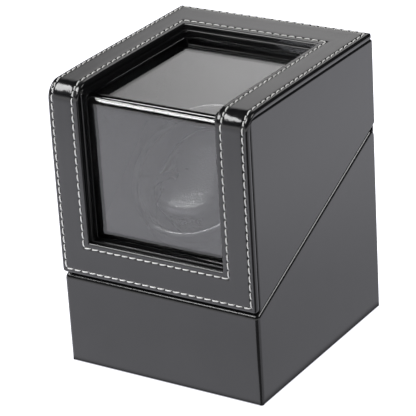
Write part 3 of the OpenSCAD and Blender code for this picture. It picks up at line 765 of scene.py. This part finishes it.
def edge_lines(radius):
    """Distances from an edge at which its rounding is sampled."""
    steps = 6
    return [radius * (1 - math.cos(math.pi / 2 * i / steps)) for i in range(steps)]


def sheet_lines(length, open_low, open_high):
    """Grid lines along one side of the sheet, closer together where its edges are round."""
    pitch = 0.45
    outer = edge_lines(BULL_R)
    inner = edge_lines(SILL_EDGE_R)
    first = outer + ramp(BULL_R, open_low - SILL_EDGE_R, pitch) + [open_low - d for d in inner[::-1]]
    middle = ramp(open_low, open_high, pitch)[1:]
    last = [open_high + d for d in inner] + ramp(open_high + SILL_EDGE_R, length - BULL_R, pitch)
    return np.array(first + middle + last + [length - d for d in outer[::-1]])


def drop(distance, radius):
    """How far a rounded edge falls at a distance from the edge."""
    inside = np.clip(radius - distance, 0, radius)
    return radius - np.sqrt(np.maximum(radius ** 2 - inside ** 2, 0))


def rect_distance(x, s, row):
    """Distance to a row's rectangle: below zero inside it."""
    side, low, rear = row
    return np.maximum(np.maximum(np.abs(x) - (HALF_W - side), low - s), s - (LENGTH - rear))


def sheet_height(x, s):
    """Relief of the padded leather over its nominal face."""
    border = np.minimum(np.minimum(HALF_W - np.abs(x), s), LENGTH - s)
    dx = np.maximum(np.abs(x) - OPEN_X, 0)
    ds = np.maximum(np.maximum(OPEN_START - s, s - OPEN_END), 0)
    height = -np.maximum(drop(np.maximum(border, 0), BULL_R), drop(np.hypot(dx, ds), SILL_EDGE_R))
    outer = rect_distance(x, s, OUTER_ROW)
    inner = rect_distance(x, s, INNER_ROW)
    between = np.clip(np.minimum(-outer, inner) / PAD_SHOULDER, 0, 1)
    height += PAD_RISE * np.sqrt(between) * (2 - between) / 2
    depth, width = GROOVE
    for distance in (outer, inner):
        height -= depth * np.exp(-(distance / width) ** 2)
    return height - pull(s)


def add_holes(height, x, s):
    """Dimples where the thread goes into the leather."""
    reach = 1.6
    depth, width = HOLE
    for row in (OUTER_ROW, INNER_ROW):
        for hole, _ in stitch_spans(row):
            i0, i1 = np.searchsorted(x, (hole.x - reach, hole.x + reach))
            j0, j1 = np.searchsorted(s, (hole.y - reach, hole.y + reach))
            away = np.hypot(x[i0:i1, None] - hole.x, s[None, j0:j1] - hole.y)
            height[i0:i1, j0:j1] -= depth * np.exp(-(away / width) ** 2)


def rumple(x, s, size, layer):
    """Smooth noise over the sheet, with features of that size in millimetres."""
    return noise.noise(Vector((x / size[0], s / size[1], layer)))


def add_creases(height, x, s):
    """Uneven leather at the frame's bend, slow unevenness elsewhere, and a fine one round the opening."""
    middle = (STRAIGHT + BEND_END) / 2
    bend_reach, lip_end = 7.5, 3.2
    for j, sj in enumerate(s):
        near = math.exp(-((sj - middle) / bend_reach) ** 2)
        for i, xi in enumerate(x):
            if abs(xi) < OPEN_X and OPEN_START < sj < OPEN_END:
                continue
            slow = rumple(xi, sj, (11, 11), 3.7)
            crease = rumple(xi, sj, (4.5, 6.5), 9.1)
            edge = min(1, (HALF_W - abs(xi)) / 3, abs(abs(xi) - OPEN_X) / 2)
            height[i, j] += edge * (0.05 * slow + near * (0.3 * slow + 0.2 * crease))
            lip = max(abs(xi) - OPEN_X, OPEN_START - sj, sj - OPEN_END)
            if SILL_EDGE_R < lip < lip_end:
                height[i, j] += 0.09 * rumple(xi, sj, (1.3, 1.3), 5.3)


def round_plan_corner(x, s):
    """Pulls the sheet's four outer corners in to a rounded corner."""
    a = np.clip((np.abs(x) - (HALF_W - CORNER_R)) / CORNER_R, 0, 1)
    b0 = np.clip((CORNER_R - s) / CORNER_R, 0, 1)
    b1 = np.clip((s - (LENGTH - CORNER_R)) / CORNER_R, 0, 1)
    b = np.maximum(b0, b1)
    new_a = a * np.sqrt(1 - b * b / 2)
    new_b = b * np.sqrt(1 - a * a / 2)
    x = x + np.sign(x) * (new_a - a) * CORNER_R
    s = s + np.where(b1 > 0, 1, -1) * (new_b - b) * CORNER_R
    return x, s


def frame_piece():
    """Padded frame: a flat sheet with its relief, bent, and closed round its edges and down its back."""
    xs = sheet_lines(2 * HALF_W, HALF_W - OPEN_X, HALF_W + OPEN_X) - HALF_W
    ss = sheet_lines(LENGTH, OPEN_START, OPEN_END)
    gx, gs = np.meshgrid(xs, ss, indexing="ij")
    height = sheet_height(gx, gs)
    add_holes(height, xs, ss)
    add_creases(height, xs, ss)
    # The underside is the same grid drawn in a little from the outer edge
    inset = (HALF_W - OPEN_X - BACK_R) / (HALF_W - OPEN_X)
    ux = np.where(np.abs(gx) > OPEN_X, np.sign(gx) * (OPEN_X + (np.abs(gx) - OPEN_X) * inset), gx)
    low_scale = (OPEN_START - BACK_R) / OPEN_START
    rear_scale = (LENGTH - OPEN_END - BACK_R) / (LENGTH - OPEN_END)
    us = np.where(gs < OPEN_START, OPEN_START - (OPEN_START - gs) * low_scale, gs)
    us = np.where(gs > OPEN_END, OPEN_END + (gs - OPEN_END) * rear_scale, us)
    px, ps = round_plan_corner(gx, gs)
    ux, us = ux + (px - gx), us + (ps - gs)
    solid = ~((np.abs(gx) < OPEN_X - HAIR) & (gs > OPEN_START + HAIR) & (gs < OPEN_END - HAIR))
    bm = bmesh.new()
    nx, ns = gx.shape
    face_grid, back_grid = {}, {}
    for i in range(nx):
        for j in range(ns):
            if solid[i, j]:
                face_grid[i, j] = bm.verts.new(on_sheet(px[i, j], ps[i, j], height[i, j]))
                back_grid[i, j] = bm.verts.new(on_sheet(ux[i, j], us[i, j], -FRAME_T))
    backs = []
    # Cells are left out where their middle lies in the opening
    mid_x = (xs[:-1] + xs[1:]) / 2
    mid_s = (ss[:-1] + ss[1:]) / 2
    for i in range(nx - 1):
        for j in range(ns - 1):
            if abs(mid_x[i]) < OPEN_X and OPEN_START < mid_s[j] < OPEN_END:
                continue
            ring = [(i, j), (i + 1, j), (i + 1, j + 1), (i, j + 1)]
            bm.faces.new([face_grid[k] for k in ring])
            backs.append(bm.faces.new([back_grid[k] for k in ring[::-1]]))
    add_walls(bm, face_grid, back_grid, xs, ss)
    back_verts = list(back_grid.values())
    back_edges = list({e for f in backs for e in f.edges})
    bmesh.ops.dissolve_limit(
        bm, angle_limit=0.02, use_dissolve_boundaries=False, verts=back_verts, edges=back_edges
    )
    return even_normals(from_bmesh("frame_pad", bm))


def add_walls(bm, face_grid, back_grid, xs, ss):
    """Closes the sheet round its outer edge, straight and then turned under, and down the opening."""
    nx, ns = len(xs), len(ss)
    border = [(i, 0) for i in range(nx - 1)] + [(nx - 1, j) for j in range(ns - 1)]
    border += [(i, ns - 1) for i in range(nx - 1, 0, -1)] + [(0, j) for j in range(ns - 1, 0, -1)]
    i0, i1 = np.searchsorted(xs, (-OPEN_X - HAIR, OPEN_X - HAIR))
    j0, j1 = np.searchsorted(ss, (OPEN_START - HAIR, OPEN_END - HAIR))
    hole = [(i, j0) for i in range(i0, i1)] + [(i1, j) for j in range(j0, j1)]
    hole += [(i, j1) for i in range(i1, i0, -1)] + [(i0, j) for j in range(j1, j0, -1)]
    turn = BACK_R / (FRAME_T - BULL_R)
    nose = [(0.5 * (1 - turn), 0)]
    for part in range(4):
        a = math.pi / 2 * part / 4
        nose.append((1 - turn * (1 - math.sin(a)), 1 - math.cos(a)))
    for loop, steps in ((border, nose), (hole, [])):
        rings = [[face_grid[k] for k in loop]]
        for down, inward in steps:
            ring = []
            for k in loop:
                top, low = face_grid[k].co, back_grid[k].co
                # Downward and sideways parts of the way from the face's edge to the back's edge
                normal = Vector(on_sheet(0, ss[k[1]], 1)) - Vector(on_sheet(0, ss[k[1]], 0))
                way = low - top
                fall = normal * way.dot(normal)
                ring.append(bm.verts.new(top + fall * down + (way - fall) * inward))
            rings.append(ring)
        skin(bm, rings + [[back_grid[k] for k in loop]])


def stitch_piece():
    """Every visible stitch of both rows, as short arched lengths of thread."""
    sides, steps = 8, 8
    radius, gap, slant = 0.4, 0.38, math.radians(5)
    rise, sink, press, flatten = 0.16, 0.3, 0.05, 0.85
    verts, faces, uvs = [], [], []
    for row in (OUTER_ROW, INNER_ROW):
        for start, end in stitch_spans(row):
            along = (end - start).normalized()
            across = Vector((-along.y, along.x))
            middle = (start + end) / 2
            reach = (end - start).length / 2 - gap
            lean = along * math.cos(slant) + across * math.sin(slant)
            cross = Vector((-lean.y, lean.x))
            first = len(verts)
            for k in range(steps + 1):
                t = -1 + 2 * k / steps
                arch = (1 - t ** 4) * (sink + rise) - sink
                thick = radius * (1 - 0.45 * t ** 6)
                centre = middle + lean * (reach * t)
                for m in range(sides):
                    a = 2 * math.pi * m / sides
                    p = centre + cross * (thick * math.cos(a))
                    lift = arch - press + flatten * thick * math.sin(a) - float(pull(p.y))
                    verts.append(on_sheet(p.x, p.y, lift))
            for k in range(steps):
                for m in range(sides):
                    n = (m + 1) % sides
                    a, b = first + k * sides, first + (k + 1) * sides
                    faces.append((a + m, a + n, b + n, b + m))
                    uvs += [(k, m), (k, m + 1), (k + 1, m + 1), (k + 1, m)]
            faces.append(tuple(first + m for m in range(sides))[::-1])
            faces.append(tuple(first + steps * sides + m for m in range(sides)))
            uvs += [(0, 0)] * sides + [(steps, 0)] * sides
    obj = make("stitching", verts, faces)
    layer = obj.data.uv_layers.new(name="twist")
    twist_steps = 2.2
    flat = [c for u, v in uvs for c in (u / twist_steps, v / sides)]
    layer.data.foreach_set("uv", flat)
    return obj


# ---- Pane ----

def pane_piece():
    """Bent acrylic sheet with a smooth bend."""
    t, edge_r = 2.5, 0.25
    bend = FRAME_BEND_R
    cy, cz = pane_low.y + bend, pane_high.z - bend
    outer = [(pane_low.y, pane_low.z), *arc((cy, cz), bend, 180, 90, 40), (pane_high.y, pane_high.z)]
    inner = [(pane_high.y, pane_high.z - t), *arc((cy, cz), bend - t, 90, 180, 40)]
    inner.append((pane_low.y + t, pane_low.z))
    obj = prism("pane", outer + inner, pane_low.x, pane_high.x)
    return even_normals(round_edges(obj, edge_r, segments=2))


# ---- Cushion ----

def cushion_piece():
    """Watch cushion: a padded block in leatherette, fuller at its front, swelled by cloth simulation."""
    half, reach, plan_r, edge_r, shrink = 24.0, 29.5, 20.0, 5.5, 1.2
    low, high, crown, voxel = -20.2, 15.5, 0.4, 1.6
    lean = math.tan(math.radians(9))
    quarter = [math.radians(15 * n) for n in range(7)]

    def ring(inset, height):
        a, b = half - shrink - inset, reach - shrink - inset
        r = min(max(plan_r - inset, 0.15 * min(a, b)), a, b)
        points = []
        for sx, sy, start in ((1, 1, 0), (-1, 1, 90), (-1, -1, 180), (1, -1, 270)):
            points += arc((sx * (a - r), sy * (b - r)), r, start, start + 90, 8)
        share = (height - low) / (high - low)
        return [from_cup(x, up, height - lean * up * share ** 2) for x, up in points]

    rings = [ring(edge_r * (1 - math.sin(a)), low + shrink + edge_r * (1 - math.cos(a))) for a in quarter]
    rings += [ring(edge_r * (1 - math.cos(a)), high - shrink - edge_r * (1 - math.sin(a))) for a in quarter]
    flat = half - shrink - edge_r
    for k in range(1, 6):
        rings.append(ring(edge_r + flat * k / 6, high - shrink + crown * (1 - (1 - k / 6) ** 2)))
    verts = [v for r in rings for v in r]
    count = len(rings[0])
    faces = [
        (k + n, k + (n + 1) % count, k + count + (n + 1) % count, k + count + n)
        for k in range(0, len(verts) - count, count) for n in range(count)
    ]
    faces += [tuple(range(count))[::-1], tuple(range(len(verts) - count, len(verts)))]
    obj = make("watch_cushion", verts, faces)
    remesh = obj.modifiers.new("remesh", "REMESH")
    remesh.mode = "VOXEL"
    remesh.voxel_size = voxel * MM
    apply_modifiers(obj)
    swell(obj, cap=0.6)
    smooth = obj.modifiers.new("smooth", "SUBSURF")
    smooth.levels = smooth.render_levels = 1
    apply_modifiers(obj)
    shade(obj.data)
    return obj


def swell(obj, cap):
    """Fills a soft piece by cloth pressure, and lets no point move further than cap."""
    rest = np.array([v.co for v in obj.data.vertices])
    cloth = obj.modifiers.new("cloth", "CLOTH")
    cloth.settings.use_pressure = True
    cloth.settings.uniform_pressure_force = 4.0
    cloth.settings.effector_weights.gravity = 0
    cloth.settings.quality = 5
    scene = bpy.context.scene
    for number in range(1, 21):
        scene.frame_set(number)
    apply_modifiers(obj)
    scene.frame_set(1)
    moved = np.array([v.co for v in obj.data.vertices]) - rest
    length = np.linalg.norm(moved, axis=1, keepdims=True)
    moved *= np.minimum(1, cap * MM / np.maximum(length, 1e-12))
    obj.data.vertices.foreach_set("co", (rest + moved).ravel())
    obj.data.update()


# ---- Rear controls and screws ----

# Screw heads as radius and thickness, and how far the hinges and their screws lie from the middle
PANEL_SCREW = (2.2, 0.9)
LEAF_SCREW = (2.0, 0.7)
HINGE_X = 34
HINGE_SCREW_X = 8


def knob_piece():
    """Fluted knob with a pointer groove, about +Y."""
    radius = (knob_high.x - knob_low.x) / 2
    face = plate_high.y + 0.3
    height = knob_high.y - face
    flutes, flute_depth, around, dish = 20, 0.035, 240, 0.25
    bm = bmesh.new()
    # Height over the panel, share of the radius, and how deep the flutes are there
    levels = [(-0.05, 1, 0), (0.0, 1, 0), (0.35, 1, 1), (height - 0.9, 0.97, 1), (height - dish, 0.95, 0.4),
              (height, 0.88, 0), (height - dish, 0.6, 0), (height - dish, 0.05, 0)]
    rings = []
    for rise, share, fluted in levels:
        ring = []
        for n in range(around):
            a = 2 * math.pi * n / around
            r = radius * share * (1 - flute_depth * fluted * (1 + math.cos(flutes * a)))
            x, z = knob_mid.x + r * math.cos(a), knob_mid.z + r * math.sin(a)
            ring.append(bm.verts.new((x, face + rise, z)))
        rings.append(ring)
    skin(bm, rings)
    bm.faces.new(rings[0][::-1])
    bm.faces.new(rings[-1])
    obj = from_bmesh("knob", bm)
    half, deep, start = 0.35, 0.6, 1.2
    cut(obj, block("pointer", (knob_mid.x - half, knob_high.y - deep, knob_mid.z + start),
                   (knob_mid.x + half, knob_high.y + 1, knob_mid.z + radius + 1)))
    shaft_r, sunk = 3.0, 0.5
    foot = (knob_mid.x, knob_low.y, knob_mid.z)
    shaft = cylinder("shaft", foot, (0, 1, 0), shaft_r, face + sunk - knob_low.y)
    return even_normals(join("speed_knob_cap", [obj, shaft]))


def slider_piece():
    """Slide switch cap with three grip grooves."""
    body = block("slider_cap", slider_low, slider_high)
    count, half, deep, edge_r = 3, 0.22, 0.4, 0.12
    grooves = []
    width = slider_high.x - slider_low.x
    for n in range(count):
        x = slider_low.x + width * (n + 1) / (count + 1)
        grooves.append(block("groove", (x - half, slider_high.y - deep, slider_low.z - 1),
                             (x + half, slider_high.y + 1, slider_high.z + 1)))
    cut(body, *grooves)
    return even_normals(round_edges(body, edge_r, segments=2))


def screw_pieces(name, node, head, axis, places):
    """Cross-head screws: head radius and thickness, pointing along axis, with their heads at places."""
    radius, thick = head
    core_r, shank, tip = radius * 0.5, -4.5, -5.5
    made = []
    turn = Vector((0, 0, 1)).rotation_difference(Vector(axis)).to_matrix().to_4x4()
    dome = [(0, 1), (0.45, 0.97), (0.75, 0.82), (0.93, 0.5), (1, 0.15), (1, 0)]
    dome = [(radius * a, thick * b) for a, b in dome] + [(core_r, 0), (core_r, shank), (0, tip)]
    for n, place in enumerate(places):
        one = lathe("screw", dome, sides=40)
        arm, width = radius * 0.62, radius * 0.17
        bars = [(arm, width), (width, arm)]
        cut(one, *[block("bar", (-a, -b, thick * 0.45), (a, b, thick + 1)) for a, b in bars])
        spun = Matrix.Rotation(0.7 * n + 0.3, 4, "Z")
        one.matrix_world = Matrix.Translation(Vector(place) * MM) @ turn @ spun
        bpy.context.view_layer.update()
        made.append(one)
    obj = join(name, made)
    shade(obj.data)
    bevel(obj, 0.06, 2, 40)
    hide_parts(node)
    return even_normals(obj)


def mark_piece():
    """Printed dots round the knob and arrows beside the slider."""
    made = []
    back, front = plate_high.y - 0.1, plate_high.y + 0.02
    count, ring_r, first_r, growth = 7, 8.2, 0.3, 0.06
    for n in range(count):
        a = math.radians(-60 + 50 * n)
        place = (knob_mid.x + ring_r * math.cos(a), back, knob_mid.z + ring_r * math.sin(a))
        made.append(cylinder("dot", place, (0, 1, 0), first_r + growth * n, front - back, sides=20))
    middle = (slider_low + slider_high) / 2
    rise, half = 4.4, 0.9
    for side in (-1, 1):
        tip, tail = middle.x + side * 3.6, middle.x + side * 1.8
        verts = [(x, y, middle.z + z) for y in (back, front)
                 for x, z in ((tip, rise), (tail, rise - half), (tail, rise + half))]
        faces = [(0, 1, 2), (5, 4, 3), (0, 3, 4, 1), (1, 4, 5, 2), (2, 5, 3, 0)]
        made.append(make("arrow", verts, faces, smooth=False))
    return join("panel_marks", made)


# ---- Build ----

def build_case():
    shell = finish_as(even_normals(base_piece()), "leather")
    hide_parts("base_shell")
    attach(shell, "base")
    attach(finish_as(even_normals(rear_strip()), "leather"), "base")
    lid = finish_as(even_normals(lid_piece()), "leather")
    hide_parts("lid_shell")
    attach(lid, "lid")
    pad = finish_as(frame_piece(), "frame_leather")
    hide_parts("window_frame")
    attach(pad, "lid")
    thread = finish_as(stitch_piece(), "frame_leather", THREAD)
    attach(thread, "lid")
    pane = finish_as(pane_piece(), "acrylic")
    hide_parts("window_pane")
    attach(pane, "lid")


def build_cushion():
    cushion = finish_as(cushion_piece(), "cushion_leather")
    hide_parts("cushion")
    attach(cushion, "cushion")


def build_rear():
    knob = finish_as(knob_piece(), "matte_black")
    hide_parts("speed_knob")
    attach(knob, "speed_knob")
    slider = finish_as(slider_piece(), "matte_black")
    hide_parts("direction_slider")
    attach(slider, "direction_slider")
    inset = 3
    dx = (plate_high.x - plate_low.x) / 2 - inset
    dz = (plate_high.z - plate_low.z) / 2 - inset
    corners = [(sx * dx, plate_high.y, plate_mid.z + sz * dz) for sx in (-1, 1) for sz in (-1, 1)]
    screws = screw_pieces("panel_screw_heads", "panel_screws", PANEL_SCREW, (0, 1, 0), corners)
    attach(finish_as(screws, "steel"), "base")
    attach(finish_as(mark_piece(), "matte_black", PRINT), "base")
    for part in ("base", "lid"):
        node = f"hinge_{part}_screws"
        low, high = span(node)
        z = (low.z + high.z) / 2
        spots = [(sx * (HINGE_X + tx * HINGE_SCREW_X), high.y - LEAF_SCREW[1], z)
                 for sx in (-1, 1) for tx in (-1, 1)]
        screws = screw_pieces(f"hinge_{part}_screw_heads", node, LEAF_SCREW, (0, 1, 0), spots)
        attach(finish_as(screws, "nickel"), part)


# Edge rounding of the CAD nodes, in millimetres
SOFT_EDGES = {
    1.1: "window_trim",
    0.6: "deck motor_can",
    0.35: "control_panel",
    0.3: "base_felt cheek_left cheek_right back_panel rotor_cup corner_blocks battery_box gearbox",
    0.25: "module_housing",
    0.2: "pane_retainer cup_lining battery_cover bottom_panel bottom_screws",
    0.18: "hinge_base_left hinge_base_right hinge_lid_left hinge_lid_right",
    0.15: "lining_left lining_right lining_rear hinge_pins base_magnets lid_magnets front_bush rear_bush",
    0.12: "dc_jack board_chips",
    0.1: "control_board",
    0.08: "rotor_gear pinion thrust_washer",
}


def dress_cad():
    """Materials from the record's slots for every CAD node, and softened edges where they show."""
    slots = {row["node"]: row["material_slot"] for row in frame["record"]["subparts"]}
    widths = {node: width for width, nodes in SOFT_EDGES.items() for node in nodes.split()}
    for node, obj in frame["nodes"].items():
        if not obj.hide_render:
            finish_as(obj, slots[node])
            if node in widths:
                soften(node, widths[node])
            else:
                even_normals(obj)


# ---- Stage, light and camera ----

CAMERA_WHITE = 1.5


def stage():
    """A wide pale floor that glows rather than being lit. To the camera it is white, black under the box,
    with a painted dark contact line just past its sides. Reflections see a painted pool of light: bright in
    front on the left, dimmer beside and behind the box, with painted shade straight ahead of its right
    corner and right up against it.
    Distances are in metres, from the box's sides."""
    bpy.ops.mesh.primitive_circle_add(vertices=96, radius=7, fill_type="NGON", location=(0, 0, 0))
    floor = bpy.context.object
    floor.name = "floor"
    material, tree, main = shader("floor", (0.2, 0.2, 0.2), 0.9, Specular_IOR_Level=0.1)
    parts = add(tree, "SeparateXYZ")
    tree.links.new(add(tree, "TexCoord").outputs["Object"], parts.inputs["Vector"])
    x, y = parts.outputs["X"], parts.outputs["Y"]
    past_x = maths(tree, "SUBTRACT", maths(tree, "ABSOLUTE", x), HALF_W * MM)
    past_y = maths(tree, "SUBTRACT", maths(tree, "ABSOLUTE", y), REAR * MM)
    away = maths(tree, "MAXIMUM", past_x, past_y)
    beside = maths(tree, "SUBTRACT", x, HALF_W * MM)
    # Painted light: the glow is graded by place, brighter in front of the box and rising away from its
    # right side
    side = step(tree, beside, 0.01, 0.17, 0.8, 1.16)
    ahead = maths(tree, "SUBTRACT", FRONT * MM, y)
    near, far = step(tree, ahead, 0.05, 0.16, 1.5, 1.75), step(tree, ahead, 0.2, 0.5, 1, 0.8)
    seam = 0.004
    right = product(tree, side, step(tree, beside, -seam, seam))
    left = product(tree, near, far, step(tree, beside, seam, -seam))
    # Painted shade: the dark stretch fans out from the right front corner, between two directions
    aim = maths(tree, "ARCTAN2", beside, ahead)
    before = step(tree, aim, math.radians(-4), math.radians(-12))
    after = step(tree, aim, math.radians(62), math.radians(74))
    painted_light_pool, painted_shade_fan = maths(tree, "ADD", right, left), maths(tree, "MAXIMUM", before, after)
    # Painted shadow in reflections: the glow fades to nothing within 5 mm of the box's sides
    level = product(tree, painted_light_pool, painted_shade_fan, step(tree, away, 0.0, 0.005))
    # Painted shadow for the camera: black under the box and a thin dark line just past its sides
    white = step(tree, away, -0.002, 0.0006, 0, CAMERA_WHITE)
    tree.links.new(for_camera(tree, white, level), main.inputs["Emission Strength"])
    main.inputs["Emission Color"].default_value = (0.98, 0.98, 1.05, 1)
    floor.data.materials.append(material)


def softbox(name, toward, distance, size, strength):
    """A square area light that faces the middle of the box from a direction."""
    data = bpy.data.lights.new(name, "AREA")
    data.shape = "RECTANGLE"
    data.size, data.size_y = size
    data.energy = strength
    lamp = link(name, data)
    direction = Vector(toward).normalized()
    lamp.location = Vector((0, 0, 0.08)) + direction * distance
    lamp.rotation_mode = "QUATERNION"
    lamp.rotation_quaternion = direction.to_track_quat("Z", "Y")


def world():
    """A white wall behind on the left and a white horizon in front, by direction; dark elsewhere.
    The camera sees white."""
    made = bpy.data.worlds.new("studio")
    bpy.context.scene.world = made
    made.use_nodes = True
    tree = made.node_tree
    background = tree.nodes["Background"]
    parts = add(tree, "SeparateXYZ")
    tree.links.new(add(tree, "TexCoord").outputs["Generated"], parts.inputs["Vector"])
    x, y, z = (parts.outputs[axis] for axis in "XYZ")
    behind = product(
        tree, step(tree, y, 0.25, 0.45), step(tree, z, 0.7, 0.58), step(tree, x, -0.57, -0.49, 0.62, 1.16),
        step(tree, x, -0.24, -0.42, 0.03, 1), step(tree, x, -0.64, -0.58, 0.1, 1)
    )
    horizon = product(tree, step(tree, z, 0.3, 0.16, 0.03, 1.6), step(tree, y, 0.3, 0.1, 0.03, 1))
    level = maths(tree, "MAXIMUM", behind, horizon)
    tree.links.new(for_camera(tree, CAMERA_WHITE, level), background.inputs["Strength"])
    background.inputs["Color"].default_value = (1, 0.99, 0.995, 1)


def camera():
    """The photograph's viewpoint: azimuth, elevation and roll, with a long lens."""
    azimuth, elevation, roll = (math.radians(a) for a in (33.307, 23.941, -3.601))
    target = Vector((-0.00837, 0, 0.07308))
    distance = 1.2293
    flat = math.cos(elevation)
    back = Vector((math.sin(azimuth) * flat, -math.cos(azimuth) * flat, math.sin(elevation)))
    right = (-back).cross(Vector((0, 0, 1))).normalized()
    up = right.cross(-back)
    across = right * math.cos(roll) + up * math.sin(roll)
    upward = up * math.cos(roll) - right * math.sin(roll)
    data = bpy.data.cameras.new("camera")
    data.lens, data.sensor_width = 198.04, 36
    data.clip_start, data.clip_end = 0.05, 50
    cam = link("camera", data)
    turn = Matrix((across, upward, back)).transposed().to_4x4()
    cam.matrix_world = Matrix.Translation(target + back * distance) @ turn
    bpy.context.scene.camera = cam


camera()
build_case()
build_cushion()
build_rear()
dress_cad()
stage()
softbox("front_box", (-0.54, -0.37, 0.76), 1.5, (1.0, 0.46), 19)
softbox("right_box", (0.69, 0.27, 0.67), 1.5, (0.5, 0.4), 6)
world()
scene = bpy.context.scene
scene.view_settings.view_transform = "Standard"
scene.cycles.use_denoising = True
